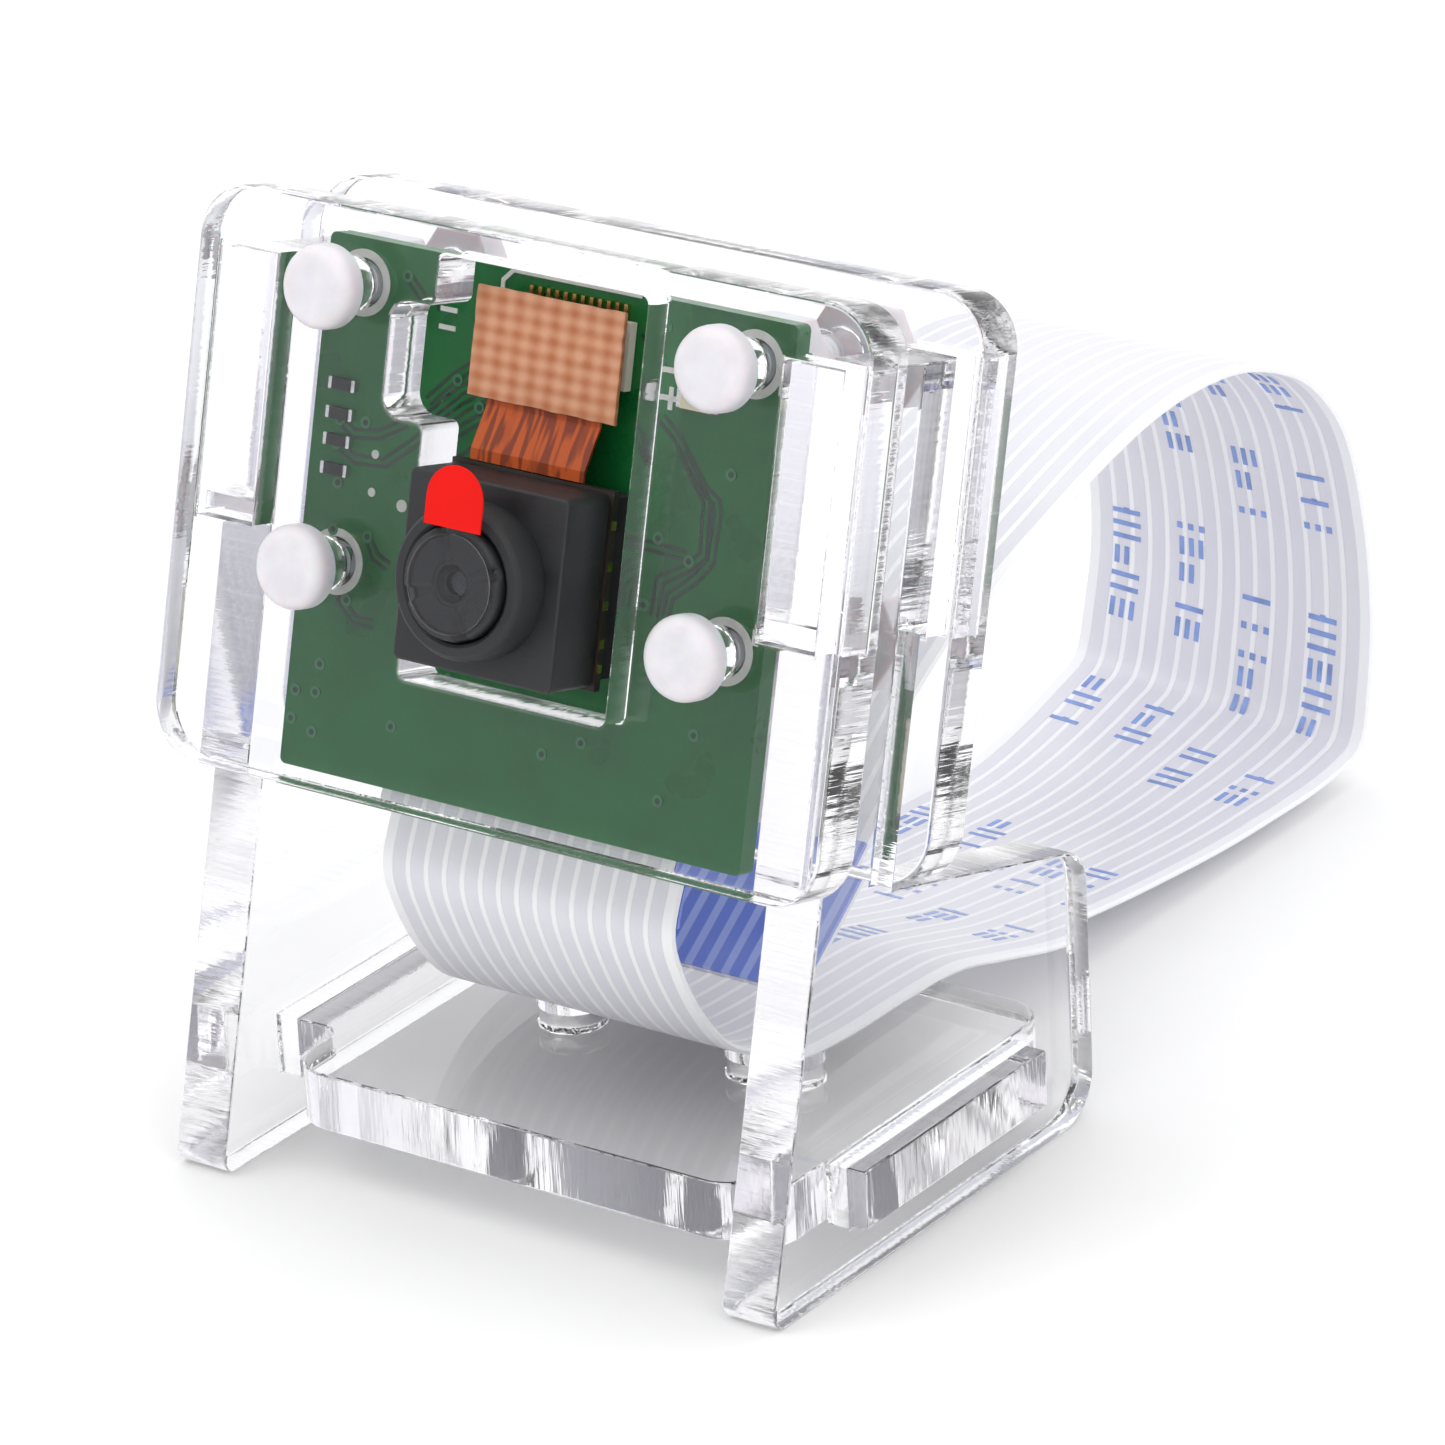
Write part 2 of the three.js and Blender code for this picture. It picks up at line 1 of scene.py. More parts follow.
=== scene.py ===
"""Camera board holder: clear acrylic stand, small camera board and its flat ribbon cable.

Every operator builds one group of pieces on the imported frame. Lengths are in millimetres and turn
into metres where a mesh is made. The panel's sizes are in metres. A pattern's scale is per metre,
per millimetre where it follows sheet_mm or ribbon_mm, and across the piece where nothing feeds it.
"""

import math
import random

import bmesh
import bpy
from mathutils import Matrix, Vector


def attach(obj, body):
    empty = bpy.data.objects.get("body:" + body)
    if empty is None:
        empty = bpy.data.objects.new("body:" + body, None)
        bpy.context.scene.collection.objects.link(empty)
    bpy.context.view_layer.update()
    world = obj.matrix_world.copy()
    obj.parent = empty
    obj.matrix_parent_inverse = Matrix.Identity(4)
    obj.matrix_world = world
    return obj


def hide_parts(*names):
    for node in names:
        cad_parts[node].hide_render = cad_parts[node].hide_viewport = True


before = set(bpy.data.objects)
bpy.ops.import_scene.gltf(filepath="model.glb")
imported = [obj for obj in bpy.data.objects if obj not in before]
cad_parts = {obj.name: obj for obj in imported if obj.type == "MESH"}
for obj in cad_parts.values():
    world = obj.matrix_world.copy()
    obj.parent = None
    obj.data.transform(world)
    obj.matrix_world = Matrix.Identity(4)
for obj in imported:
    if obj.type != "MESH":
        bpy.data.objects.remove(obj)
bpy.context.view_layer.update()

bl_info = {
    "name": "Camera Board Holder",
    "version": (1, 0, 0),
    "blender": (4, 5, 0),
    "location": "3D View > Sidebar > Holder",
    "description": "Builds a clear acrylic camera board holder with its ribbon cable",
    "category": "Object",
}

MM = 0.001

# ---- driving dimensions, the same as the solids' ----
TILT = math.radians(15)
ACRYLIC = 2.8
PLATE_WIDTH = 36
PLATE_HEIGHT = 26
PLATE_CORNER = 2.5
PLATE_GAP = 5.7
HEAD_Y = -7.24
HEAD_Z = 31.85
BACK_PLATE_FRONT = ACRYLIC + PLATE_GAP
BACK_PLATE_BACK = BACK_PLATE_FRONT + ACRYLIC
LEG_OUTER_X = 16.5
LEG_INNER_X = LEG_OUTER_X - ACRYLIC
LEG_TAB_LOW = -1.8
LEG_TAB_HIGH = 10.2
TAB_RECESS = 0.3
SLIP = 0.05
SLOT_PLAY = 0.12
FOOT_TOP_V = -13.05
HEEL_Y = 12.63
BASE_LOW = 2.6
BASE_TAB_FRONT = -6.63
BASE_TAB_BACK = 7.61
BASE_HOLE = 1.55
SCREW_HOLE = 1.15
THREAD_PITCH = 0.4
NUT_FLATS = 4
NUT_THICKNESS = 1.6
NUT_BORE = 1.0
BOARD_FRONT = 3.55
BOARD_BACK = 4.55
BOARD_MIDDLE = -0.63
SCREWS = [(side * 10.5, BOARD_MIDDLE + v) for side in (-1, 1) for v in (10, -2.5)]
LENS_X, LENS_V = 0.35, -1.55
RIBBON_WIDTH = 16
RIBBON_THICKNESS = 0.3
STIFFENER_LENGTH = 8.0
CONTACT_LENGTH = 4.6


# ---------------------------------------------------------------- places and meshes


def head_point(x, v, d):
    """A point x across, v up the plates and d behind the front plate's face, in millimetres."""
    sin, cos = math.sin(TILT), math.cos(TILT)
    return Vector((x, HEAD_Y + v * sin + d * cos, HEAD_Z + v * cos - d * sin))


def head_matrix():
    """Turns (x, v, height in front of the face) into the row frame, still in millimetres."""
    sin, cos = math.sin(TILT), math.cos(TILT)
    columns = [(1, 0, 0), (0, sin, cos), (0, -cos, sin)]
    turn = Matrix(columns).transposed().to_4x4()
    return Matrix.Translation((0, HEAD_Y, HEAD_Z)) @ turn


def side_matrix():
    """Turns a side view (y, z, x) into the row frame."""
    return Matrix(((0, 0, 1, 0), (1, 0, 0, 0), (0, 1, 0, 0), (0, 0, 0, 1)))


def rounded(corners):
    """Points of a closed outline through corners (x, y, radius), each rounded by an arc."""
    points = []
    count = len(corners)
    for i, (x, y, radius) in enumerate(corners):
        here = Vector((x, y))
        before = (Vector(corners[i - 1][:2]) - here).normalized()
        after = (Vector(corners[(i + 1) % count][:2]) - here).normalized()
        if radius <= 0:
            points.append(here)
            continue
        half = before.angle(after) / 2
        start = here + before * radius / math.tan(half)
        end = here + after * radius / math.tan(half)
        centre = here + (before + after).normalized() * radius / math.sin(half)
        sweep = math.pi - 2 * half
        steps = max(3, round(sweep / math.radians(6)))
        first, last = start - centre, end - centre
        turn = math.copysign(sweep, first.x * last.y - first.y * last.x)
        for k in range(steps + 1):
            angle = turn * k / steps
            spoke = Vector((
                first.x * math.cos(angle) - first.y * math.sin(angle),
                first.x * math.sin(angle) + first.y * math.cos(angle),
            ))
            points.append(centre + spoke)
    return points


def rectangle(left, low, right, high, radius=0.0):
    corners = ((left, low), (right, low), (right, high), (left, high))
    return rounded([(x, y, radius) for x, y in corners])


def ring(x, y, radius, sides=40):
    turns = (2 * math.pi * i / sides for i in range(sides))
    return [Vector((x + radius * math.cos(t), y + radius * math.sin(t))) for t in turns]


def finish_piece(obj, body, finish, sharp=30):
    """Smooth faces with crisp edges, one finish or several, and the body the piece rides on."""
    for polygon in obj.data.polygons:
        polygon.use_smooth = True
    obj.data.set_sharp_from_angle(angle=math.radians(sharp))
    for key in finish if isinstance(finish, tuple) else (finish,):
        obj.data.materials.append(Finishes.get(key))
    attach(obj, body)
    return obj


def mesh_piece(name, points, faces, finish, body="holder", sharp=30):
    """A piece from points in millimetres in the row frame."""
    mesh = bpy.data.meshes.new(name)
    mesh.from_pydata([Vector(p) * MM for p in points], [], faces)
    bm = bmesh.new()
    bm.from_mesh(mesh)
    bmesh.ops.recalc_face_normals(bm, faces=bm.faces)
    bm.to_mesh(mesh)
    bm.free()
    obj = bpy.data.objects.new(name, mesh)
    bpy.context.scene.collection.objects.link(obj)
    return finish_piece(obj, body, finish, sharp)


def slab(name, loops, thickness, place, finish, edge=0.12, body="holder", cut_edges=True):
    """A plate cut from sheet: loops are its outline and holes, and its edges are eased by edge.

    Faces round the cut take the second finish when cut_edges is set.
    """
    curve = bpy.data.curves.new(name, "CURVE")
    curve.dimensions = "2D"
    curve.fill_mode = "BOTH"
    curve.extrude = thickness / 2 - edge
    curve.bevel_depth = edge
    curve.bevel_resolution = 2
    curve.offset = -edge
    for loop in loops:
        spline = curve.splines.new("POLY")
        spline.points.add(len(loop) - 1)
        for point, (x, y) in zip(spline.points, loop):
            point.co = (x, y, 0, 1)
        spline.use_cyclic_u = True
    shape = bpy.data.objects.new(name, curve)
    bpy.context.scene.collection.objects.link(shape)
    graph = bpy.context.evaluated_depsgraph_get()
    mesh = bpy.data.meshes.new_from_object(shape.evaluated_get(graph))
    bpy.data.objects.remove(shape)
    bpy.data.curves.remove(curve)
    mesh.name = name
    bm = bmesh.new()
    bm.from_mesh(mesh)
    bmesh.ops.remove_doubles(bm, verts=bm.verts, dist=0.002)
    bmesh.ops.recalc_face_normals(bm, faces=bm.faces)
    bm.to_mesh(mesh)
    bm.free()
    # The sheet's own coordinates, which the cut's ripple and the tape's weave follow.
    local = mesh.attributes.new("sheet_mm", "FLOAT_VECTOR", "POINT")
    for item, vertex in zip(local.data, mesh.vertices):
        item.vector = vertex.co
    for polygon in mesh.polygons:
        polygon.material_index = 1 if cut_edges and abs(polygon.normal.z) < 0.9 else 0
    faces_of_sheet = [polygon.index for polygon in mesh.polygons if abs(polygon.normal.z) > 0.999]
    mesh.transform(Matrix.Scale(MM, 4) @ place)
    obj = bpy.data.objects.new(name, mesh)
    bpy.context.scene.collection.objects.link(obj)
    finish_piece(obj, body, finish, 25)
    for index in faces_of_sheet:
        mesh.polygons[index].use_smooth = False
    return obj


def lathe(name, profile, place, finish, sides, body="holder"):
    """A turned piece: profile is (radius, height) from one end of the axis to the other."""
    points, faces = [], []
    rings = []
    for radius, height in profile:
        if radius < 1e-6:
            rings.append([len(points)])
            points.append(Vector((0, 0, height)))
        else:
            rings.append(list(range(len(points), len(points) + sides)))
            for i in range(sides):
                t = 2 * math.pi * i / sides
                points.append(Vector((radius * math.cos(t), radius * math.sin(t), height)))
    pairs = list(zip(rings, rings[1:]))
    if profile[0][0] > 1e-6:
        pairs.append((rings[-1], rings[0]))
    for low, high in pairs:
        for i in range(sides):
            j = (i + 1) % sides
            face = [low[i % len(low)], low[j % len(low)], high[j % len(high)], high[i % len(high)]]
            face = list(dict.fromkeys(face))
            if len(face) > 2:
                faces.append(face)
    return mesh_piece(name, [place @ p for p in points], faces, finish, body, 35)


def decals(name, outlines, depth, height, finish, middle=BOARD_MIDDLE, up=-1):
    """Thin raised shapes on the board, drawn in (x, v) from its middle; up is 1 on its back."""
    points, faces = [], []
    for outline in outlines:
        start, count = len(points), len(outline)
        for layer in (depth, depth + up * height):
            points += [head_point(x, middle + v, layer) for x, v in outline]
        faces.append(list(range(start, start + count)))
        faces.append(list(range(start + count, start + 2 * count)))
        for i in range(count):
            j = (i + 1) % count
            faces.append([start + i, start + j, start + count + j, start + count + i])
    return mesh_piece(name, points, faces, finish)


def band(points, width):
    """The outline of a line of that width through points, with mitred corners."""
    points = [Vector(p) for p in points]
    left, right = [], []
    for i, point in enumerate(points):
        before = (point - points[i - 1]).normalized() if i else None
        after = (points[i + 1] - point).normalized() if i + 1 < len(points) else None
        along = ((before or after) + (after or before)).normalized()
        across = Vector((-along.y, along.x))
        reach = width / 2 / max(0.4, abs(along.dot(after or before)))
        left.append(point + across * reach)
        right.append(point - across * reach)
    return left + right[::-1]


# ---------------------------------------------------------------- materials

# Most of a noise pattern lies between these values.
NOISE_LOW, NOISE_HIGH = 0.3, 0.7
NOISE_RANGE = {"From Min": NOISE_LOW, "From Max": NOISE_HIGH}


def linear(hex_colour):
    """An sRGB hex value such as "#1f7a4a" as a linear colour with alpha; a linear colour stays."""
    if not isinstance(hex_colour, str):
        return hex_colour
    channels = [int(hex_colour[i:i + 2], 16) / 255 for i in (1, 3, 5)]
    light = [c / 12.92 if c < 0.04045 else ((c + 0.055) / 1.055) ** 2.4 for c in channels]
    return (*light, 1.0)


def tones(key, spread):
    """Two tones of one of the panel's colours, a little darker and a little lighter."""
    colour = getattr(bpy.context.scene.holder_colours, key)
    return [(*(min(1.0, c * factor) for c in colour), 1.0) for factor in (1 - spread, 1 + spread)]


def add_node(tree, kind, links=None, values=None, into=None, **settings):
    """Adds a node: links and values by input name or number, and settings by attribute.

    A link comes from a socket, or from a node's first output. The new node's own first output
    goes into the socket that into gives.
    """
    node = tree.nodes.new("ShaderNode" + kind)
    for key, value in settings.items():
        setattr(node, key, value)
    for key, value in (values or {}).items():
        node.inputs[key].default_value = value
    for key, source in (links or {}).items():
        socket = source if isinstance(source, bpy.types.NodeSocket) else source.outputs[0]
        tree.links.new(socket, node.inputs[key])
    if into is not None:
        tree.links.new(node.outputs[0], into)
    return node


def new_material(name, colour, roughness, **sockets):
    """A material, its node tree and its shader's inputs; sockets are inputs, with _ for spaces."""
    material = bpy.data.materials.new(name)
    material.use_nodes = True
    tree = material.node_tree
    surface = next(n for n in tree.nodes if n.type == "BSDF_PRINCIPLED").inputs
    surface["Base Color"].default_value = linear(colour)
    surface["Roughness"].default_value = roughness
    for key, value in sockets.items():
        surface[key.replace("_", " ")].default_value = value
    return material, tree, surface


def mottle(tree, surface, low, high, scale, detail=4.0):
    """Colour that drifts between two tones, scale times per metre; gives back its pattern."""
    place = add_node(tree, "TexCoord").outputs["Object"]
    noise = add_node(tree, "TexNoise", {"Vector": place}, {"Scale": scale, "Detail": detail})
    ramp = add_node(tree, "ValToRGB", {"Fac": noise}, into=surface["Base Color"])
    for stop, position, tone in zip(ramp.color_ramp.elements, (NOISE_LOW, NOISE_HIGH), (low, high)):
        stop.position, stop.color = position, linear(tone)
    return noise


def clear_acrylic():
    """Cast acrylic sheet: almost colourless, flat and glossy, so only its edges and reflections show."""
    return new_material("cast_acrylic_face", "#fdfdfe", 0.0, IOR=1.49, Transmission_Weight=1.0)[0]


def cut_acrylic():
    """Laser-cut acrylic edge: fire-polished, with fine ripples that run through the sheet."""
    material, tree, surface = new_material(
        "laser_cut_acrylic_edge", "#fbfafd", 0.05, IOR=1.49, Transmission_Weight=1.0
    )
    place = add_node(tree, "Attribute", attribute_name="sheet_mm").outputs["Vector"]
    # Ripples about 0.45 mm apart along the cut, and nearly straight through the thickness.
    squeeze = add_node(tree, "Mapping", {"Vector": place}, {"Scale": (2.2, 2.2, 0.12)})
    ripple = add_node(tree, "TexNoise", {"Vector": squeeze}, {"Scale": 1.0, "Detail": 3.0})
    add_node(tree, "Bump", {"Height": ripple}, {"Strength": 0.35, "Distance": 0.1 * MM}, surface["Normal"])
    return material


def white_nylon():
    """Natural nylon, moulded: milky white, with a soft waxy shine and light bleeding through it."""
    material, tree, surface = new_material(
        "natural_nylon", "#dcdbe0", 0.4, IOR=1.53, Subsurface_Weight=0.5, Subsurface_Scale=1.2 * MM
    )
    noise = mottle(tree, surface, *tones("nylon", 0.05), 900, 3.0)
    shine = {**NOISE_RANGE, "To Min": 0.28, "To Max": 0.42}
    add_node(tree, "MapRange", {"Value": noise}, shine, surface["Roughness"])
    grain = add_node(tree, "TexNoise", values={"Scale": 4000.0, "Detail": 2.0})
    add_node(tree, "Bump", {"Height": grain}, {"Strength": 0.15, "Distance": 0.02 * MM}, surface["Normal"])
    return material


def green_mask():
    """Solder mask on glass-fibre board: leaf green lacquer, faintly mottled by the weave under it."""
    material, tree, surface = new_material(
        "green_solder_mask", "#236a3d", 0.4,
        IOR=1.5, Specular_IOR_Level=0.3, Coat_Weight=0.15, Coat_Roughness=0.2,
    )
    noise = mottle(tree, surface, *tones("mask", 0.16), 260, 5.0)
    shine = {**NOISE_RANGE, "To Min": 0.24, "To Max": 0.4}
    add_node(tree, "MapRange", {"Value": noise}, shine, surface["Roughness"])
    # The weave's threads, 0.89 mm apart: a wave texture's bands lie pi / 10 / Scale apart.
    place = add_node(tree, "TexCoord").outputs["Object"]
    thread = {"Scale": math.pi / 10 / (0.88833 * MM), "Distortion": 0.6, "Detail": 1.0}
    across, up = (
        add_node(tree, "TexWave", {"Vector": place}, thread, bands_direction=axis).outputs["Fac"]
        for axis in "XZ"
    )
    both = add_node(tree, "Math", {0: across, 1: up}, operation="ADD")
    add_node(tree, "Bump", {"Height": both}, {"Strength": 0.12, "Distance": 0.02 * MM}, surface["Normal"])
    return material


def mottled(name, low, high, scale, rough, relief=0.0, grain=3000.0, **sockets):
    """A moulded or printed finish: a slight drift of tone, and a fine grain of relief mm."""
    material, tree, surface = new_material(name, low, rough, **sockets)
    noise = mottle(tree, surface, low, high, scale)
    shine = {**NOISE_RANGE, "To Min": rough * 0.85, "To Max": min(1.0, rough * 1.2)}
    add_node(tree, "MapRange", {"Value": noise}, shine, surface["Roughness"])
    if relief:
        fine = add_node(tree, "TexNoise", values={"Scale": grain, "Detail": 3.0})
        depth = {"Strength": 0.5, "Distance": relief * MM}
        add_node(tree, "Bump", {"Height": fine}, depth, surface["Normal"])
    return material


def woven_copper():
    """Copper-coloured woven shield tape: a grid of coppery cells between paler threads."""
    material, tree, surface = new_material("woven_copper_tape", "#c98663", 0.45, IOR=1.5, Metallic=0.15)
    place = add_node(tree, "Attribute", attribute_name="sheet_mm").outputs["Vector"]
    parts = add_node(tree, "SeparateXYZ", {"Vector": place})
    # Cells 0.96 mm apart across and 0.7 mm apart up.
    waves = []
    for axis, pitch in ((0, 0.96), (1, 0.7)):
        pace = {1: 2 * math.pi / pitch}
        turn = add_node(tree, "Math", {0: parts.outputs[axis]}, pace, operation="MULTIPLY")
        waves.append(add_node(tree, "Math", {0: turn}, operation="SINE"))
    mixed = add_node(tree, "Math", {0: waves[0], 1: waves[1]}, operation="ADD")
    blotch = add_node(tree, "TexNoise", {"Vector": place}, {"Scale": 1.6, "Detail": 3.0})
    spread = add_node(tree, "Math", {0: blotch}, {1: 2.4, 2: -1.2}, operation="MULTIPLY_ADD")
    total = add_node(tree, "Math", {0: mixed, 1: spread}, operation="ADD")
    level = add_node(tree, "MapRange", {"Value": total}, {"From Min": -1.8, "From Max": 2.0})
    ramp = add_node(tree, "ValToRGB", {"Fac": level}, into=surface["Base Color"])
    for stop, tone in zip(ramp.color_ramp.elements, ("#cf9876", "#b0693f")):
        stop.color = linear(tone)
    add_node(tree, "Bump", {"Height": mixed}, {"Strength": 0.4, "Distance": 0.03 * MM}, surface["Normal"])
    return material


def striped_ribbon():
    """Polyester ribbon film over tinned flat conductors: white lanes between grey-lilac ones."""
    material, tree, surface = new_material(
        "polyester_ribbon_film", "#e6e6ea", 0.36, IOR=1.5, Coat_Weight=0.1, Coat_Roughness=0.25
    )
    place = add_node(tree, "Attribute", attribute_name="ribbon_mm").outputs["Vector"]
    across = add_node(tree, "SeparateXYZ", {"Vector": place})
    # Conductors 1 mm apart; about 0.65 mm of each lane is metal, and the film's rims have none.
    turn = add_node(tree, "Math", {0: across}, {1: 2 * math.pi}, operation="MULTIPLY")
    wave = add_node(tree, "Math", {0: turn}, operation="COSINE")
    ramp = {"From Min": -0.8, "From Max": -0.45}
    lane = add_node(tree, "MapRange", {"Value": wave}, ramp, interpolation_type="SMOOTHSTEP")
    width = add_node(tree, "Math", {0: across}, operation="ABSOLUTE")
    inside = add_node(tree, "Math", {0: width}, {1: 7.4}, operation="LESS_THAN")
    metal = add_node(tree, "Math", {0: lane, 1: inside}, operation="MULTIPLY")
    drift = add_node(tree, "TexNoise", {"Vector": place}, {"Scale": 0.15, "Detail": 2.0})
    lilacs = {6: linear("#d6d5df"), 7: linear("#e1e1e7")}
    lilac = add_node(tree, "Mix", {"Factor": drift}, lilacs, data_type="RGBA").outputs[2]
    white = {6: linear("#f1f1f4")}
    mix = add_node(tree, "Mix", {"Factor": metal, 7: lilac}, white, data_type="RGBA")
    tree.links.new(mix.outputs[2], surface["Base Color"])
    add_node(tree, "Bump", {"Height": metal}, {"Strength": 0.6, "Distance": 0.05 * MM}, surface["Normal"])
    return material


def blue_stiffener():
    """Blue polyester stiffener: glossy royal blue, with paler lanes between the conductors."""
    material, tree, surface = new_material(
        "blue_polyester_stiffener", "#4a66b8", 0.25, IOR=1.57, Coat_Weight=0.4, Coat_Roughness=0.1
    )
    place = add_node(tree, "TexCoord").outputs["Object"]
    across = add_node(tree, "SeparateXYZ", {"Vector": place})
    turn = add_node(tree, "Math", {0: across}, {1: 2 * math.pi / MM}, operation="MULTIPLY")
    wave = add_node(tree, "Math", {0: turn}, operation="COSINE")
    ramp = {"From Min": -0.5, "From Max": 0.0}
    lane = add_node(tree, "MapRange", {"Value": wave}, ramp, interpolation_type="SMOOTHSTEP")
    blues = {6: linear("#9db0f0"), 7: linear("#6680dc")}
    mix = add_node(tree, "Mix", {"Factor": lane}, blues, data_type="RGBA")
    tree.links.new(mix.outputs[2], surface["Base Color"])
    add_node(tree, "Bump", {"Height": lane}, {"Strength": 0.4, "Distance": 0.03 * MM}, surface["Normal"])
    return material


def orange_flex():
    """Polyimide flex: amber film over copper tracks that run up it."""
    material, tree, surface = new_material("polyimide_flex", "#a8541c", 0.55, IOR=1.45)
    place = add_node(tree, "TexCoord").outputs["Object"]
    # Tracks about 0.24 mm apart, drawn out about eight times as long.
    squeeze = add_node(tree, "Mapping", {"Vector": place}, {"Scale": (1, 0.12, 0.12)})
    tracks = add_node(tree, "TexNoise", {"Vector": squeeze}, {"Scale": 4200.0, "Detail": 0.0})
    ramp = add_node(tree, "ValToRGB", {"Fac": tracks}, into=surface["Base Color"])
    for stop, position, tone in zip(ramp.color_ramp.elements, (0.42, 0.58), ("#7a2c00", "#b54c06")):
        stop.position, stop.color = position, linear(tone)
    add_node(tree, "Bump", {"Height": tracks}, {"Strength": 0.3, "Distance": 0.03 * MM}, surface["Normal"])
    return material


def lens_glass():
    """Coated lens glass: nearly black in the barrel, with a cool sheen."""
    material, tree, surface = new_material(
        "coated_lens_glass", "#8d90a8", 0.03,
        IOR=1.6, Transmission_Weight=0.9, Coat_Weight=0.5, Coat_Roughness=0.03,
    )
    place = add_node(tree, "TexCoord").outputs["Object"]
    noise = add_node(tree, "TexNoise", {"Vector": place}, {"Scale": 800.0})
    add_node(tree, "Bump", {"Height": noise}, {"Strength": 0.05, "Distance": 0.01 * MM}, surface["Normal"])
    return material


def lens_film():
    """Protective polyester film: clear, with the slight haze of its low-tack glue."""
    return new_material("polyester_lens_film", "#e9e9ee", 0.12, IOR=1.4, Transmission_Weight=1.0)[0]


class Finishes:
    """Each finish is made once, when a piece first asks for it."""

    made = {}
    recipes = {
        "face": clear_acrylic,
        "cut": cut_acrylic,
        "nylon": white_nylon,
        "mask": green_mask,
        # The shoulders of copper tracks under the mask: the same green, but deeper, as painted shade where
        # the mask dips over the tracks' edges.
        "track": lambda: mottled(
            "masked_copper_track", "#04301a", "#0a3b21", 300, 0.3, IOR=1.5, Coat_Weight=0.3
        ),
        # Mask over a via's copper ring: a paler green.
        "ring": lambda: mottled("tented_via", "#2d7245", "#3a8052", 2000, 0.35, IOR=1.5),
        # The via's hole: a dark green dot, painted shade inside the hole.
        "hole": lambda: mottled("via_hole", "#16382a", "#1c4433", 2000, 0.5),
        # Screen-printed legend: chalky, faintly green white.
        "ink": lambda: mottled("legend_ink", "#cfd3cc", "#e2e4df", 1500, 0.6, 0.01),
        # Gold flash on copper pads: small warm glints.
        "gold": lambda: mottled("gold_flash", "#d9b36a", "#e8c987", 1500, 0.25, Metallic=1.0),
        # Tinned metal: bright, slightly uneven grey.
        "tin": lambda: mottled("bright_tin", "#c9cacd", "#e4e5e6", 1500, 0.22, 0.01, Metallic=1.0),
        # Black ABS of the lens holder: fine spark-eroded grain, worn slightly shiny.
        "black": lambda: mottled(
            "black_moulded_plastic", "#1a1b1d", "#232427", 500, 0.5, 0.03, 6000.0, IOR=1.5
        ),
        # The focus barrel's plastic: as black, but shinier.
        "barrel": lambda: mottled(
            "black_barrel_plastic", "#191a1c", "#242528", 700, 0.33, 0.02, 7000.0, IOR=1.5
        ),
        # Chip packages: charcoal epoxy with a fine matt grain.
        "chip": lambda: mottled("black_epoxy_package", "#1b1c1f", "#2a2b2e", 900, 0.55, 0.02, 8000.0),
        # Connector bodies: warm, slightly waxy off-white.
        "ivory": lambda: mottled("ivory_nylon_socket", "#e6dfcc", "#f0ead9", 600, 0.45, 0.02),
        # Foam under the sensor: nearly black, pitted.
        "foam": lambda: mottled("black_foam_pad", "#1a1a1b", "#303032", 2500, 0.95, 0.08, 5000.0),
        # Capacitor bodies: fired tan ceramic.
        "ceramic": lambda: mottled("fired_ceramic", "#a88460", "#b8946e", 1500, 0.5, 0.01),
        # Film tab: bright red polyester with a faint sheen.
        "red": lambda: mottled(
            "red_polyester_tab", *tones("tab", 0.03), 800, 0.5, 0.01, Specular_IOR_Level=0.15
        ),
        # The rim of the sensor's carrier is painted near black, not its bare amber.
        "carrier": lambda: mottled("black_coated_polyimide", "#1d1815", "#2c241f", 900, 0.5),
        "film": lens_film,
        # The lamp's lens: creamy, glossy epoxy.
        "led": lambda: mottled("led_epoxy", "#e6dcb8", "#f4ecd0", 1200, 0.3, IOR=1.5),
        "copper": woven_copper,
        "flex": orange_flex,
        "ribbon": striped_ribbon,
        "blue": blue_stiffener,
        # Ink on the ribbon: soft blue, a little uneven.
        "print": lambda: mottled("blue_marking_ink", *tones("marks", 0.18), 900, 0.5),
        "glass": lens_glass,
        # Infrared filter: dark teal glass with a bright coating.
        "filter": lambda: mottled(
            "infrared_filter", "#1d3436", "#274447", 600, 0.08, IOR=1.52, Coat_Weight=0.8, Coat_Roughness=0.04
        ),
        # Bare sensor die: dark blue to violet, glossy.
        "silicon": lambda: mottled("sensor_die", "#262b40", "#3a3152", 2500, 0.18, Metallic=0.4),
    }

    @classmethod
    def get(cls, key):
        if key not in cls.made:
            cls.made[key] = cls.recipes[key]()
        return cls.made[key]


def dress(node, finish):
    """Gives a CAD node its finish."""
    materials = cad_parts[node].data.materials
    materials.clear()
    materials.append(Finishes.get(finish))


def stand_in(piece, node):
    """The piece takes a CAD node's place, and the node is hidden."""
    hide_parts(node)
    return piece


# ---------------------------------------------------------------- settings


class HolderSizes(bpy.types.PropertyGroup):
    """Sizes a maker may want to change."""

    edge_easing: bpy.props.FloatProperty(
        name="Edge easing",
        description="Width of the eased edge of each acrylic piece",
        default=0.00014, min=0.00002, max=0.0005, precision=5, unit="LENGTH",
    )
    ribbon_twist: bpy.props.FloatProperty(
        name="Ribbon twist",
        description="How far the ribbon's right edge dips at its fold",
        default=0.001, min=0.0, max=0.0012, precision=5, unit="LENGTH",
    )
    marking_gap: bpy.props.FloatProperty(
        name="Marking gap",
        description="Distance between groups of marks along the ribbon",
        default=0.0032, min=0.001, max=0.02, precision=5, unit="LENGTH",
    )


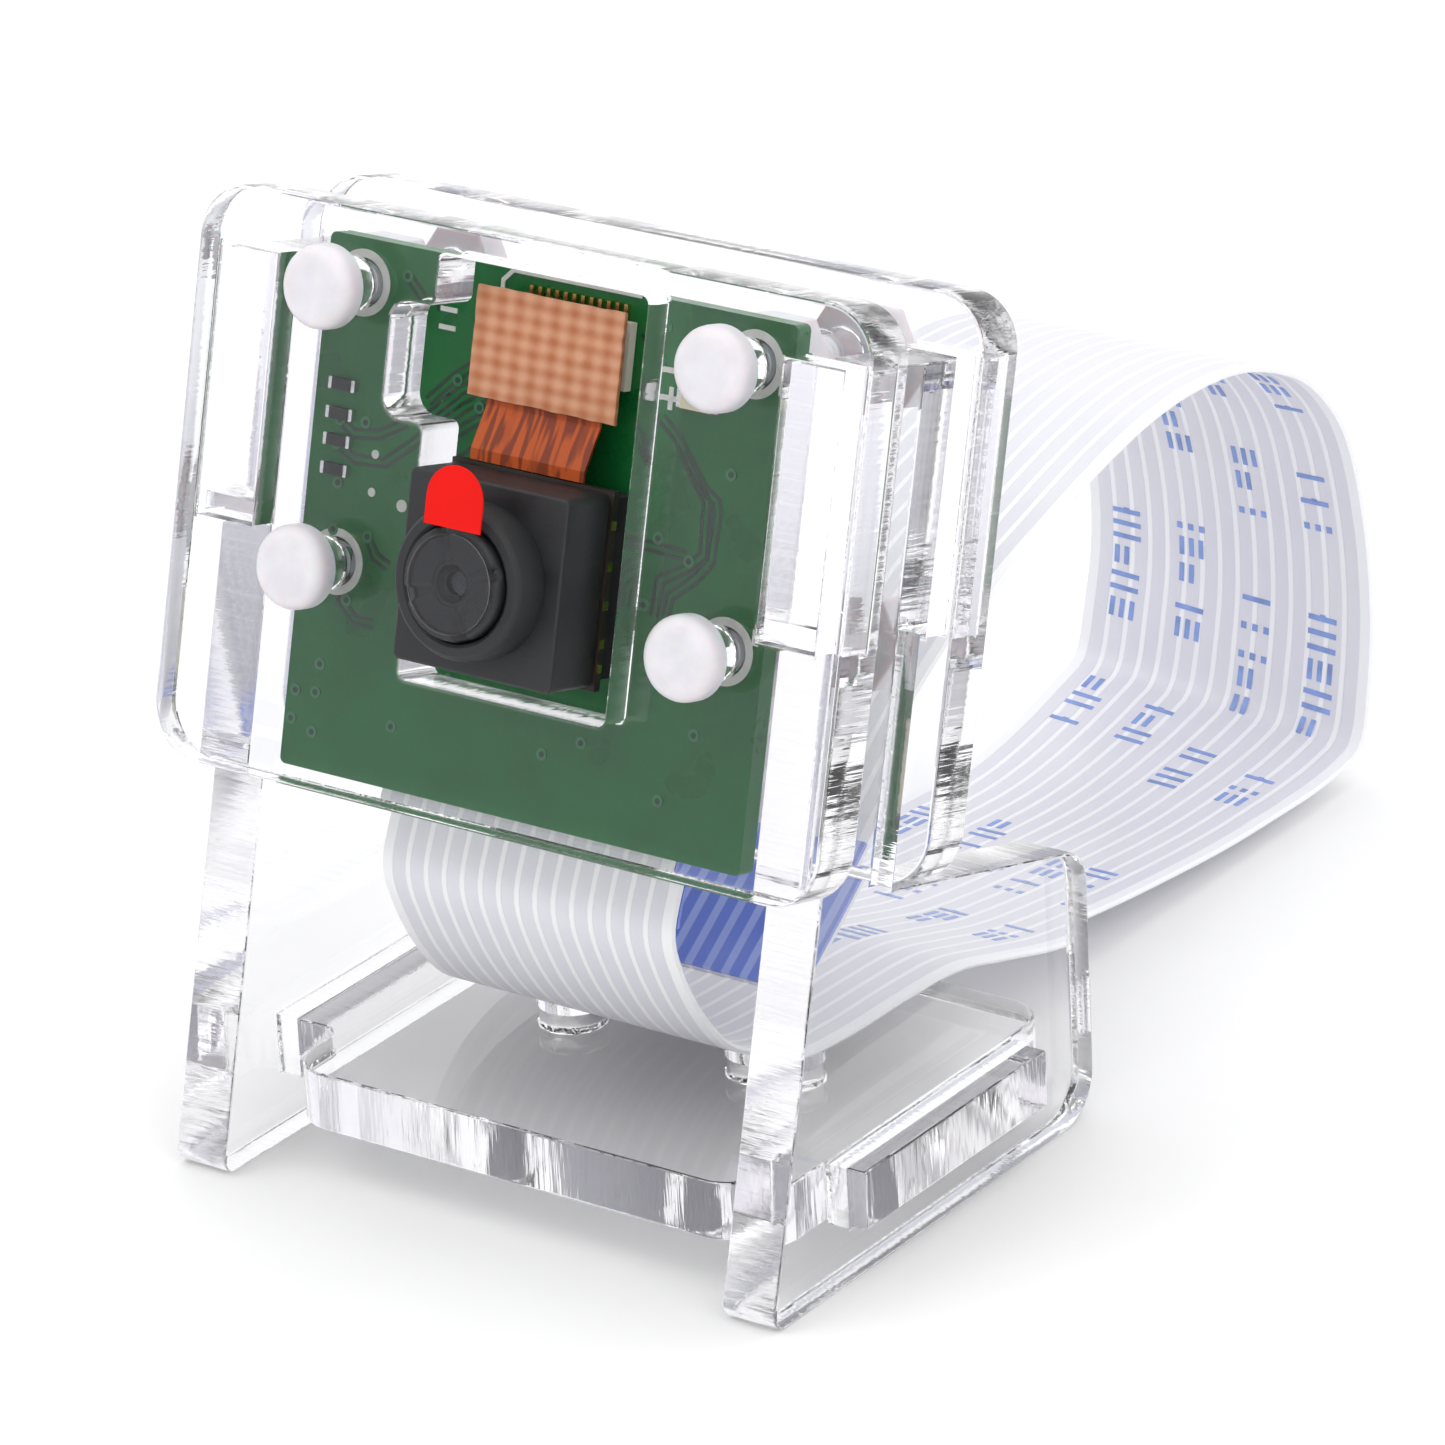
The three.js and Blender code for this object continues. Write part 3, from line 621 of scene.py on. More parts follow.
class HolderColours(bpy.types.PropertyGroup):
    """Colours a maker may want to change, and the strength of the soft light."""

    mask: bpy.props.FloatVectorProperty(
        name="Board",
        description="Colour of the board's solder mask",
        subtype="COLOR", size=3, default=linear("#136931")[:3], min=0, max=1,
    )
    nylon: bpy.props.FloatVectorProperty(
        name="Nylon",
        description="Colour of the screws and nuts",
        subtype="COLOR", size=3, default=linear("#dcdbe0")[:3], min=0, max=1,
    )
    tab: bpy.props.FloatVectorProperty(
        name="Pull tab",
        description="Colour of the lens film's pull tab",
        subtype="COLOR", size=3, default=linear("#e20e06")[:3], min=0, max=1,
    )
    marks: bpy.props.FloatVectorProperty(
        name="Ribbon marks",
        description="Colour of the marks along the ribbon",
        subtype="COLOR", size=3, default=linear("#859dd6")[:3], min=0, max=1,
    )
    floor: bpy.props.FloatVectorProperty(
        name="Floor",
        description="Colour of the floor under the holder",
        subtype="COLOR", size=3, default=linear("#f6f6f6")[:3], min=0, max=1,
    )
    sky: bpy.props.FloatProperty(
        name="Soft light",
        description="Strength of the light that comes from all round",
        default=1.06, min=0.0, max=5.0, subtype="FACTOR",
    )


# ---------------------------------------------------------------- the ribbon's route

RIBBON_ROUTE = [
    tuple(head_point(0, -8.13, 5.55).yz),
    tuple(head_point(0, -11.93, 5.55).yz),
    tuple(head_point(0, -14.4, 4.95).yz),
    (-6.95, 14.7), (-6.5, 12.75), (-5.1, 10.05), (-3.1, 7.75), (-0.2, 6.4), (3.6, 5.95),
    (8.3, 5.85), (12.4, 5.6), (16.2, 4.6), (20.6, 3.4), (25.6, 2.6), (31.6, 1.9), (38, 1.45),
    (43.6, 1.7), (47.8, 2.3), (49.4, 2.9), (50.2, 5), (50.9, 9), (50.6, 13.6), (49.1, 18.6),
    (46.2, 22.1), (42.7, 24.1), (38.9, 25.2), (34, 25.4), (29.2, 24.7), (23.3, 23.1),
    (18.5, 21.5), (12.8, 18.4), (8.3, 15.2), (4.3, 12.2), (0.1, 9.3),
]


def spline_points(route, each=24):
    """The Catmull-Rom curve that the ribbon's solid follows, as (y, z) points."""
    dense = []
    last = len(route) - 1
    for i in range(last):
        p0, p1 = route[max(i - 1, 0)], route[i]
        p2, p3 = route[i + 1], route[min(i + 2, last)]
        for k in range(each):
            t = k / each
            point = []
            for a, b, c, d in zip(p0, p1, p2, p3):
                v0, v1 = (c - a) / 2, (d - b) / 2
                point.append(
                    (2 * b - 2 * c + v0 + v1) * t ** 3 + (-3 * b + 3 * c - 2 * v0 - v1) * t ** 2 + v0 * t + b
                )
            dense.append(Vector(point))
    dense.append(Vector(route[-1]))
    return dense


def even_points(dense, count):
    """Points at equal steps along a line, and its length."""
    lengths = [0.0]
    for a, b in zip(dense, dense[1:]):
        lengths.append(lengths[-1] + (b - a).length)
    total = lengths[-1]
    points, k = [], 0
    for i in range(count + 1):
        want = total * i / count
        while k < len(lengths) - 2 and lengths[k + 1] < want:
            k += 1
        step = (want - lengths[k]) / max(1e-9, lengths[k + 1] - lengths[k])
        points.append(dense[k].lerp(dense[k + 1], step))
    return points, total


RIBBON_LINE, RIBBON_LENGTH = even_points(spline_points(RIBBON_ROUTE), 260)
FOLD = RIBBON_ROUTE.index((49.4, 2.9))


def ribbon_normals():
    """At each point of the ribbon's line, the direction out of the loop's outer face."""
    normals = []
    for i in range(len(RIBBON_LINE)):
        ahead = RIBBON_LINE[min(i + 1, len(RIBBON_LINE) - 1)]
        behind = RIBBON_LINE[max(i - 1, 0)]
        along = (ahead - behind).normalized()
        normals.append(Vector((along.y, -along.x)))
    return normals


RIBBON_NORMALS = ribbon_normals()


def ribbon_point(i, x, lift, twist):
    """A point x across the ribbon and lift off its middle, with the fold's slight twist."""
    y, z = RIBBON_LINE[i] + RIBBON_NORMALS[i] * lift
    fold = Vector(RIBBON_ROUTE[FOLD])
    near = math.exp(-(((RIBBON_LINE[i] - fold).length / 7.5) ** 2)) * x / 8
    return Vector((x, y + 0.5 * twist * near, z - twist * near))


# ---------------------------------------------------------------- operators


class HOLDER_OT_stage(bpy.types.Operator):
    """Lay the pale floor, set the soft lights and place the camera"""

    bl_idname = "holder.stage"
    bl_label = "Stage, lights and camera"

    def execute(self, context):
        scene = context.scene
        colours = scene.holder_colours
        floor_mesh = bpy.data.meshes.new("floor")
        corners = [(-6, -6, 0), (6, -6, 0), (6, 6, 0), (-6, 6, 0)]
        floor_mesh.from_pydata([Vector(c) + Vector((0, 0, -0.00002)) for c in corners], [], [(0, 1, 2, 3)])
        floor = bpy.data.objects.new("floor", floor_mesh)
        scene.collection.objects.link(floor)
        # Matt white paper, with the faintest unevenness.
        material, tree, surface = new_material("matt_white_paper", "#f6f6f6", 0.9)
        noise = mottle(tree, surface, *tones("floor", 0.02), 40)
        depth = {"Strength": 0.05, "Distance": 0.2 * MM}
        add_node(tree, "Bump", {"Height": noise}, depth, surface["Normal"])
        floor_mesh.materials.append(material)
        self.light_world(scene, colours.sky)
        for name, place, size, power in (
            ("key_softbox", (-0.35, -0.45, 0.75), 0.5, 1.3),
            ("fill_softbox", (0.6, -0.2, 0.5), 0.45, 0.7),
            ("top_softbox", (0.0, 0.25, 0.8), 0.6, 0.9),
        ):
            light = bpy.data.lights.new(name, "AREA")
            light.energy = power
            light.size = size
            lamp = bpy.data.objects.new(name, light)
            lamp.location = place
            aim = Vector((0, 0.01, 0.02)) - Vector(place)
            lamp.rotation_mode = "QUATERNION"
            lamp.rotation_quaternion = aim.to_track_quat("-Z", "Y")
            scene.collection.objects.link(lamp)
        self.place_camera(scene)
        scene.view_settings.view_transform = "Standard"
        scene.view_settings.look = "None"
        scene.view_settings.exposure = 0.0
        scene.cycles.max_bounces = 24
        scene.cycles.transmission_bounces = 20
        scene.cycles.diffuse_bounces = 12
        scene.cycles.glossy_bounces = 12
        scene.cycles.transparent_max_bounces = 16
        return {"FINISHED"}

    @staticmethod
    def light_world(scene, strength):
        """A white room with a dim band low behind the camera, which gives clear edges their lines."""
        world = bpy.data.worlds.new("white_room")
        scene.world = world
        world.use_nodes = True
        tree = world.node_tree
        tree.nodes.clear()
        place = add_node(tree, "TexCoord").outputs["Generated"]
        parts = add_node(tree, "SeparateXYZ", {"Vector": place})
        low, front = (
            add_node(
                tree, "MapRange", {"Value": parts.outputs[axis]}, {"From Min": start, "From Max": end},
                interpolation_type="SMOOTHSTEP",
            )
            for axis, start, end in (("Z", 0.0, 0.3), ("Y", -0.55, 0.1))
        )
        lit = add_node(tree, "Math", {0: low, 1: front}, operation="MAXIMUM")
        room = {6: (0.5, 0.5, 0.53, 1), 7: (1.0, 1.0, 1.0, 1)}
        mix = add_node(tree, "Mix", {"Factor": lit}, room, data_type="RGBA")
        background = add_node(tree, "Background", {"Color": mix.outputs[2]}, {"Strength": strength})
        add_node(tree, "OutputWorld", {"Surface": background})

    @staticmethod
    def place_camera(scene):
        azimuth, elevation, roll = math.radians(37.91), math.radians(22.09), math.radians(-3.47)
        distance, lens = 365.42, 210.787
        back = Vector((
            math.sin(azimuth) * math.cos(elevation),
            -math.cos(azimuth) * math.cos(elevation),
            math.sin(elevation),
        ))
        level = Vector((math.cos(azimuth), math.sin(azimuth), 0))
        above = back.cross(level)
        right = level * math.cos(roll) + above * math.sin(roll)
        up = above * math.cos(roll) - level * math.sin(roll)
        data = bpy.data.cameras.new("camera")
        data.sensor_width = 36
        data.lens = lens
        data.shift_x, data.shift_y = 0.152886, -0.126505
        data.clip_start, data.clip_end = 0.01, 30
        camera = bpy.data.objects.new("camera", data)
        turn = Matrix((right, up, back)).transposed().to_4x4()
        eye = (Vector((0, HEAD_Y, HEAD_Z)) + back * distance) * MM
        camera.matrix_world = Matrix.Translation(eye) @ turn
        scene.collection.objects.link(camera)
        scene.camera = camera


class HOLDER_OT_ribbon(bpy.types.Operator):
    """Make the ribbon cable with its stiffeners, contacts and marks"""

    bl_idname = "holder.ribbon"
    bl_label = "Ribbon cable"

    def execute(self, context):
        sizes = context.scene.holder_sizes
        twist = sizes.ribbon_twist / MM
        ribbon = self.film(twist)
        marks = self.marks(twist, sizes.marking_gap / MM)
        end = RIBBON_LENGTH
        stiffeners = [
            self.stiffener("board_end_stiffener", 0.2, STIFFENER_LENGTH, -1),
            self.stiffener("free_end_stiffener", end - STIFFENER_LENGTH, end, 1),
        ]
        for piece, node in zip(stiffeners, ("ribbon_stiffener_board", "ribbon_stiffener_free")):
            stand_in(piece, node)
        contacts = [
            self.contacts("board_end_contacts", 0.2, CONTACT_LENGTH, 1),
            self.contacts("free_end_contacts", end - CONTACT_LENGTH, end - 0.1, -1),
        ]
        return {"FINISHED"}

    @staticmethod
    def film(twist):
        """The film: a flat band with rounded long edges."""
        half, edge = RIBBON_WIDTH / 2, RIBBON_THICKNESS / 2
        section = [(-half, 0.0)] + [(-half + 0.1 + (RIBBON_WIDTH - 0.2) * i / 30, edge) for i in range(31)]
        section += [(half, 0.0)] + [(half - 0.1 - (RIBBON_WIDTH - 0.2) * i / 30, -edge) for i in range(31)]
        count = len(section)
        points, faces, local = [], [], []
        for i in range(len(RIBBON_LINE)):
            for x, lift in section:
                points.append(ribbon_point(i, x, lift, twist))
                local.append((x, RIBBON_LENGTH * i / (len(RIBBON_LINE) - 1), lift))
        for i in range(len(RIBBON_LINE) - 1):
            for k in range(count):
                n = (k + 1) % count
                faces.append([i * count + k, i * count + n, (i + 1) * count + n, (i + 1) * count + k])
        faces.append(list(range(count)))
        faces.append(list(range((len(RIBBON_LINE) - 1) * count, len(RIBBON_LINE) * count)))
        ribbon = mesh_piece("ribbon_film", points, faces, "ribbon")
        attribute = ribbon.data.attributes.new("ribbon_mm", "FLOAT_VECTOR", "POINT")
        for item, value in zip(attribute.data, local):
            item.vector = value
        return stand_in(ribbon, "ribbon_cable")

    @staticmethod
    def strip(name, start, end, low_x, high_x, low, high):
        """A thin strip beside the ribbon from start to end along it, as points and faces."""
        last = len(RIBBON_LINE) - 1
        first_i, last_i = round(start / RIBBON_LENGTH * last), round(end / RIBBON_LENGTH * last)
        points, faces = [], []
        for i in range(first_i, last_i + 1):
            for x, lift in ((low_x, low), (high_x, low), (high_x, high), (low_x, high)):
                points.append(ribbon_point(i, x, lift, 0))
        for i in range(last_i - first_i):
            for k in range(4):
                n = (k + 1) % 4
                faces.append([4 * i + k, 4 * i + n, 4 * i + 4 + n, 4 * i + 4 + k])
        end_start = 4 * (last_i - first_i)
        faces += [[0, 1, 2, 3], [end_start + k for k in range(4)]]
        return points, faces

    def stiffener(self, name, start, end, side):
        low, high = side * (RIBBON_THICKNESS / 2 + 0.01), side * (RIBBON_THICKNESS / 2 + 0.2)
        points, faces = self.strip(name, start, end, -7.95, 7.95, low, high)
        return mesh_piece(name, points, faces, "blue")

    def contacts(self, name, start, end, side):
        low, high = side * (RIBBON_THICKNESS / 2 - 0.02), side * (RIBBON_THICKNESS / 2 + 0.03)
        points, faces = [], []
        for lane in range(-7, 8):
            more, these = self.strip(name, start, end, lane - 0.34, lane + 0.34, low, high)
            faces += [[k + len(points) for k in face] for face in these]
            points += more
        return mesh_piece(name, points, faces, "tin")

    @staticmethod
    def marks(twist, gap):
        """Rows of small blue strokes on the loop's inner face, a generic stand-in for markings."""
        chance = random.Random(7)
        last = len(RIBBON_LINE) - 1
        points, faces = [], []

        def bar(x0, x1, s0, s1):
            """One closed stroke, 0.02 mm thick, from s0 to s1 along the ribbon and x0 to x1 across."""
            start = len(points)
            for lift in (0.005, 0.025):
                for s, x in ((s0, x0), (s0, x1), (s1, x1), (s1, x0)):
                    at = s / RIBBON_LENGTH * last
                    i = min(int(at), last - 1)
                    ends = [ribbon_point(k, x, -(RIBBON_THICKNESS / 2 + lift), twist) for k in (i, i + 1)]
                    points.append(ends[0].lerp(ends[1], at - i))
            sides = [(k, (k + 1) % 4, (k + 1) % 4 + 4, k + 4) for k in range(4)]
            for face in ((3, 2, 1, 0), (4, 5, 6, 7), *sides):
                faces.append([start + k for k in face])

        def mark(x, s, wide, tall):
            """Bars, dashes or dots inside a cell, in place of lettering."""
            pen = 0.26
            bars = [(x, x + tall, s, s + pen), (x, x + tall, s + wide - pen, s + wide)]
            dots = [(x + t, x + t + 0.3, s, s + 0.34) for t in (0, tall / 2 - 0.15, tall - 0.3)]
            dashes = [(x + t, x + t + pen, s, s + wide) for t in (0.1, tall / 2 - pen / 2, tall - pen - 0.1)]
            for stroke in chance.choice((bars, bars[:1] + dots[1:2], dots, dashes, dashes[:2], bars[:1])):
                bar(*stroke)

        words = (3, 5, 3, 3, 4)
        for row, x in enumerate((-6.6, -2.9, 0.8, 4.5)):
            s = 16.0 + row * 7.5
            word = row
            while s < RIBBON_LENGTH - 12:
                for _ in range(words[word % len(words)]):
                    if s > RIBBON_LENGTH - 12:
                        break
                    mark(x, s, 1.0, 1.55)
                    s += 1.45
                s += gap if word % len(words) != len(words) - 1 else gap + 7
                word += 1
        return mesh_piece("ribbon_marks", points, faces, "print")


class HOLDER_OT_acrylic(bpy.types.Operator):
    """Cut the two plates, the two legs and the base from clear sheet"""

    bl_idname = "holder.acrylic"
    bl_label = "Acrylic plates, legs and base"

    def execute(self, context):
        edge = context.scene.holder_sizes.edge_easing / MM
        sheet = ("face", "cut")
        window = rounded([
            (-4.8, -7.1, 0.4), (6.3, -7.1, 0.4), (6.3, 11.7, 0.4), (-4.8, 11.7, 0.4),
            (-4.8, 9.4, 0.4), (-7.1, 9.4, 1.0), (-7.1, 4.2, 1.0), (-4.8, 4.2, 0.4),
        ])
        right, high = PLATE_WIDTH / 2, PLATE_HEIGHT / 2
        for name, front, cuts in (("front_plate", 0.0, [window]), ("back_plate", BACK_PLATE_FRONT, [])):
            outline = rectangle(-right, -high, right, high, PLATE_CORNER)
            loops = [outline, *self.plate_holes(), *cuts]
            place = head_matrix() @ Matrix.Translation((0, 0, -front - ACRYLIC / 2))
            stand_in(slab(name + "_sheet", loops, ACRYLIC, place, sheet, edge), name)
        for side, name in ((-1, "left_leg"), (1, "right_leg")):
            place = side_matrix() @ Matrix.Translation((0, 0, side * (LEG_OUTER_X - ACRYLIC / 2)))
            stand_in(slab(name + "_sheet", self.leg_loops(), ACRYLIC, place, sheet, edge), name)
        place = Matrix.Translation((0, 0, BASE_LOW + ACRYLIC / 2))
        stand_in(slab("base_sheet", self.base_loops(), ACRYLIC, place, sheet, edge), "base_plate")
        return {"FINISHED"}

    @staticmethod
    def plate_holes():
        low, high = LEG_TAB_LOW - SLOT_PLAY, LEG_TAB_HIGH + SLOT_PLAY
        near, far = LEG_INNER_X - SLOT_PLAY, LEG_OUTER_X + SLOT_PLAY
        slots = [rectangle(-far, low, -near, high), rectangle(near, low, far, high)]
        return slots + [ring(x, v, SCREW_HOLE) for x, v in SCREWS]

    @staticmethod
    def leg_loops():
        front, back = ACRYLIC + SLIP, BACK_PLATE_FRONT - SLIP
        sin, cos = math.sin(TILT), math.cos(TILT)
        tip = head_point(0, -(HEAD_Z - ACRYLIC * sin) / cos, ACRYLIC).y
        heel = (HEEL_Y - HEAD_Y - FOOT_TOP_V * sin) / cos

        def corner(v, d, radius=0.0):
            point = head_point(0, v, d)
            return (point.y, point.z, radius)

        outline = rounded([
            (tip, 0, 0.8), (HEEL_Y, 0, 2.4), corner(FOOT_TOP_V, heel, 2.0), corner(FOOT_TOP_V, back),
            corner(LEG_TAB_LOW, back), corner(LEG_TAB_LOW, BACK_PLATE_BACK - TAB_RECESS),
            corner(LEG_TAB_HIGH, BACK_PLATE_BACK - TAB_RECESS), corner(LEG_TAB_HIGH, TAB_RECESS),
            corner(LEG_TAB_LOW, TAB_RECESS), corner(LEG_TAB_LOW, front),
        ])
        low, high = BASE_LOW - SLIP, BASE_LOW + ACRYLIC + SLIP
        slot = rectangle(BASE_TAB_FRONT - SLOT_PLAY, low, BASE_TAB_BACK + SLOT_PLAY, high)
        return [outline, slot]

    @staticmethod
    def base_loops():
        """The base with a tab each side; it sits a little to the right of the middle."""
        wide, tab, shift = 12.5, 16.2, 1.1
        near, far = BASE_TAB_FRONT, BASE_TAB_BACK
        corners = [
            (-wide, -10.7, 2), (wide, -10.7, 2), (wide, near, 0), (tab, near, 0), (tab, far, 0),
            (wide, far, 0), (wide, 11.3, 2), (-wide, 11.3, 2), (-wide, far, 0.9), (-tab, far, 0),
            (-tab, near, 0), (-wide, near, 0.9),
        ]
        outline = rounded([(x + shift, y, radius) for x, y, radius in corners])
        return [outline, *(ring(shift + x, 1.2, BASE_HOLE) for x in (-5.2, 5.2))]


class HOLDER_OT_fasteners(bpy.types.Operator):
    """Turn the nylon screws and mould their nuts"""

    bl_idname = "holder.fasteners"
    bl_label = "Nylon screws and nuts"

    def execute(self, context):
        for i, (x, v) in enumerate(SCREWS, 1):
            place = head_matrix() @ Matrix.Translation((x, v, 0))
            screw = lathe(f"pan_screw_{i}", self.screw_profile(), place, "nylon", sides=40)
            stand_in(screw, f"screw_{i}")
            places = (("inner", "board_nut", BOARD_BACK), ("outer", "back_nut", BACK_PLATE_BACK))
            for kind, node, seat in places:
                nut = self.nut(f"{kind}_hex_nut_{i}", x, v, seat + SLIP)
                stand_in(nut, f"{node}_{i}")
        return {"FINISHED"}

    @staticmethod
    def screw_profile():
        """From the head's flat face, round its rim and down a shank with a ring for each thread."""
        head = [
            (0, 1.3), (1.2, 1.3), (1.45, 1.27), (1.66, 1.17), (1.8, 1.03),
            (1.88, 0.84), (1.9, 0.66), (1.9, 0.12), (1.84, 0.05),
        ]
        shank = [(0.95, 0.05)]
        z = -0.6
        while z > -13.4:
            shank += [(0.95, z), (0.84, z - 0.14), (0.84, z - 0.2), (0.95, z - 0.34)]
            z -= THREAD_PITCH
        return head + shank + [(0.75, -13.9), (0, -13.98)]

    @staticmethod
    def nut(name, x, v, front):
        """A hexagon nut with eased corners and a plain bore."""
        reach = NUT_FLATS / math.sqrt(3)
        turns = [i * math.pi / 3 for i in range(6)]
        hexagon = rounded([(x + reach * math.cos(t), v + reach * math.sin(t), 0.2) for t in turns])
        place = head_matrix() @ Matrix.Translation((0, 0, -front - NUT_THICKNESS / 2))
        return slab(name, [hexagon, ring(x, v, NUT_BORE)], NUT_THICKNESS, place, "nylon", cut_edges=False)


class HOLDER_OT_board(bpy.types.Operator):
    """Finish the circuit board: mask, tracks, vias, legend and pads"""

    bl_idname = "holder.board"
    bl_label = "Camera board"

    def execute(self, context):
        dress("camera_board", "mask")
        self.tracks()
        self.vias()
        self.legend()
        self.pads()
        return {"FINISHED"}

    @staticmethod
    def tracks():
        lines = [
            [
                (6.0, 6.9), (7.0, 6.1), (8.6, 4.2), (9.3, 3.8), (9.4, 3.2), (9.3, 1.2),
                (8.7, 0.4), (7.4, -0.7), (7.3, -1.6),
            ],
            [(7.3, 5.6), (8.0, 4.7), (8.8, 3.7), (8.9, 1.4), (8.3, 0.8), (6.8, -0.1), (6.7, -1.7)],
            [(3.9, 0.8), (4.8, 1.3), (6.4, 1.3), (8.0, 1.2)],
            [(3.7, -1.6), (4.1, -3.2), (4.1, -5.1)],
            [(4.6, -1.2), (4.9, -3.0), (4.9, -5.0)],
            [(-7.2, 5.2), (-5.9, 6.5), (-4.2, 7.7)],
            [(-7.0, 4.6), (-5.6, 5.9), (-4.1, 6.9)],
            [(-6.6, 4.1), (-5.3, 5.2), (-4.0, 6.1)],
            [(-6.2, 3.5), (-5.1, 4.4), (-3.9, 5.2)],
            [(-5.4, 2.6), (-4.6, 3.4), (-3.7, 4.0)],
            [(-11.0, 3.8), (-10.2, 3.3), (-8.8, 3.5), (-7.4, 4.3)],
            [(-11.1, 2.7), (-10.0, 2.2), (-8.4, 2.3), (-6.4, 3.9)],
            [(-9.9, -2.0), (-10.0, -4.2), (-9.2, -4.9), (-8.2, -4.9)],
            [(-8.9, -1.1), (-8.4, -1.9), (-7.6, -2.2)],
            [(4.2, 11.2), (5.4, 10.2), (5.8, 8.9)],
            [(3.9, 10.2), (4.9, 9.2), (5.0, 6.2), (4.9, 4.9)],
            [(-8.1, 10.7), (-7.2, 9.9), (-6.9, 9.3)],
        ]
        # A track shows as the two shoulders where the mask dips over its edges, drawn as dark strips of
        # painted shade.
        shoulders = []
        for line in lines:
            sides = band(line, 0.36)
            shoulders += [band(side, 0.17) for side in (sides[:len(line)], sides[len(line):])]
        decals("mask_over_tracks", shoulders, BOARD_FRONT + 0.01, 0.03, "track")

    @staticmethod
    def vias():
        spots = [
            (-8.1, 10.7), (-5.7, 6.4), (-9.6, 3.9), (-4.4, 5.4), (-11.0, 3.8), (-11.1, 2.7),
            (-10.8, -1.1), (-8.9, -1.1), (-9.9, -2.0), (-9.7, -4.1), (-10.8, -7.2), (-12.0, -8.6),
            (-10.9, -8.5), (-12.1, -9.9), (-10.9, -10.3), (-4.6, -6.8), (8.2, 1.0), (6.1, -1.3),
            (5.8, 10.8), (4.2, 11.2), (6.5, 1.7), (9.9, 5.1), (4.9, 4.9), (-10.8, 1.0), (3.3, 0.1),
            (4.7, 0.3), (5.2, -3.1), (3.6, -7.9), (7.9, -9.6), (-6.6, -9.2), (9.4, -6.4),
            (1.6, -8.8),
        ]
        decals("via_rings", [ring(x, v, 0.28, 20) for x, v in spots], BOARD_FRONT, 0.045, "ring")
        # Each hole is a dark dot of painted shade, not a recess.
        decals("via_holes", [ring(x, v, 0.14, 16) for x, v in spots], BOARD_FRONT, 0.055, "hole")

    @staticmethod
    def legend():
        """Plain marks only: part outlines, polarity signs and pin dots."""
        marks = [band([(-3.8, 10.2), (-3.8, 11.2), (-3.3, 11.7), (3.6, 11.7)], 0.2)]
        marks += [band([(5.9, 7.8), (6.9, 7.8)], 0.24), band([(6.4, 7.3), (6.4, 8.3)], 0.24)]
        marks += [band([(5.8, 9.0), (6.7, 9.0)], 0.24)]
        marks += [ring(-7.2, 0.6, 0.28, 16), ring(-8.9, 2.6, 0.2, 14), ring(-8.9, 0.9, 0.2, 14)]
        marks += [band([(-7.0, 9.4), (-6.1, 9.4)], 0.22), band([(-7.0, 8.6), (-6.1, 8.6)], 0.22)]
        decals("legend_marks", marks, BOARD_FRONT, 0.05, "ink")

    @staticmethod
    def pads():
        rings = [ring(x, v, radius, 36) for x, v in SCREWS for radius in (1.5, 1.12)]
        place = head_matrix() @ Matrix.Translation((0, 0, -BOARD_FRONT + 0.02))
        slab("screw_pads", rings, 0.04, place, "ink", 0.008, cut_edges=False)
        fingers = [rectangle(-2.2 + 0.46 * i, 10.55, -2.02 + 0.46 * i, 11.25) for i in range(12)]
        decals("connector_leads", fingers, BOARD_FRONT, 0.25, "gold")


class HOLDER_OT_front_parts(bpy.types.Operator):
    """Place the lamp and the resistors on the front of the board"""

    bl_idname = "holder.front_parts"
    bl_label = "Front of the board"

    def execute(self, context):
        dress("status_led", "led")
        caps = [rectangle(x, 7.6, x + 0.3, 8.4) for x in (7.0, 8.9)]
        decals("lamp_ends", caps, BOARD_FRONT, 0.5, "tin")
        ends = []
        for i, v in enumerate((5.4, 4.1, 2.9, 1.6), 1):
            dress(f"resistor_{i}", "chip")
            for x in (-11.62, -10.38):
                ends.append(rectangle(x, v - 0.27, x + 0.2, v + 0.27, 0.04))
        decals("resistor_ends", ends, BOARD_FRONT, 0.34, "tin")
        return {"FINISHED"}


class HOLDER_OT_back_parts(bpy.types.Operator):
    """Dress the parts on the back of the board and the ribbon's socket"""

    bl_idname = "holder.back_parts"
    bl_label = "Back of the board"

    def execute(self, context):
        dress("oscillator", "tin")
        for i in (1, 2):
            dress(f"regulator_{i}", "chip")
        ends = []
        for i, x in enumerate((-6.5, -3.5, 3.5, 6.5), 1):
            dress(f"capacitor_{i}", "ceramic")
            for v in (0.55, 2.45):
                ends.append(rectangle(x - 0.5, v, x + 0.5, v + 0.2))
        decals("capacitor_ends", ends, BOARD_BACK, 0.74, "tin", up=1)
        legs = []
        for side in (-1, 1):
            for v in (3.7, 7.0):
                for k in (-0.55, 0, 0.55):
                    x = 5.2 + 1.6 * side + k
                    legs.append(rectangle(x - 0.15, v - 0.1, x + 0.15, v + 0.3))
        decals("regulator_leads", legs, BOARD_BACK, 0.3, "tin", up=1)
        pins = [rectangle(-7.15 + i, -6.15, -6.85 + i, -5.2) for i in range(15)]
        decals("socket_leads", pins, BOARD_BACK, 0.35, "tin", up=1)
        dress("ribbon_socket", "ivory")
        dress("ribbon_latch", "black")
        return {"FINISHED"}


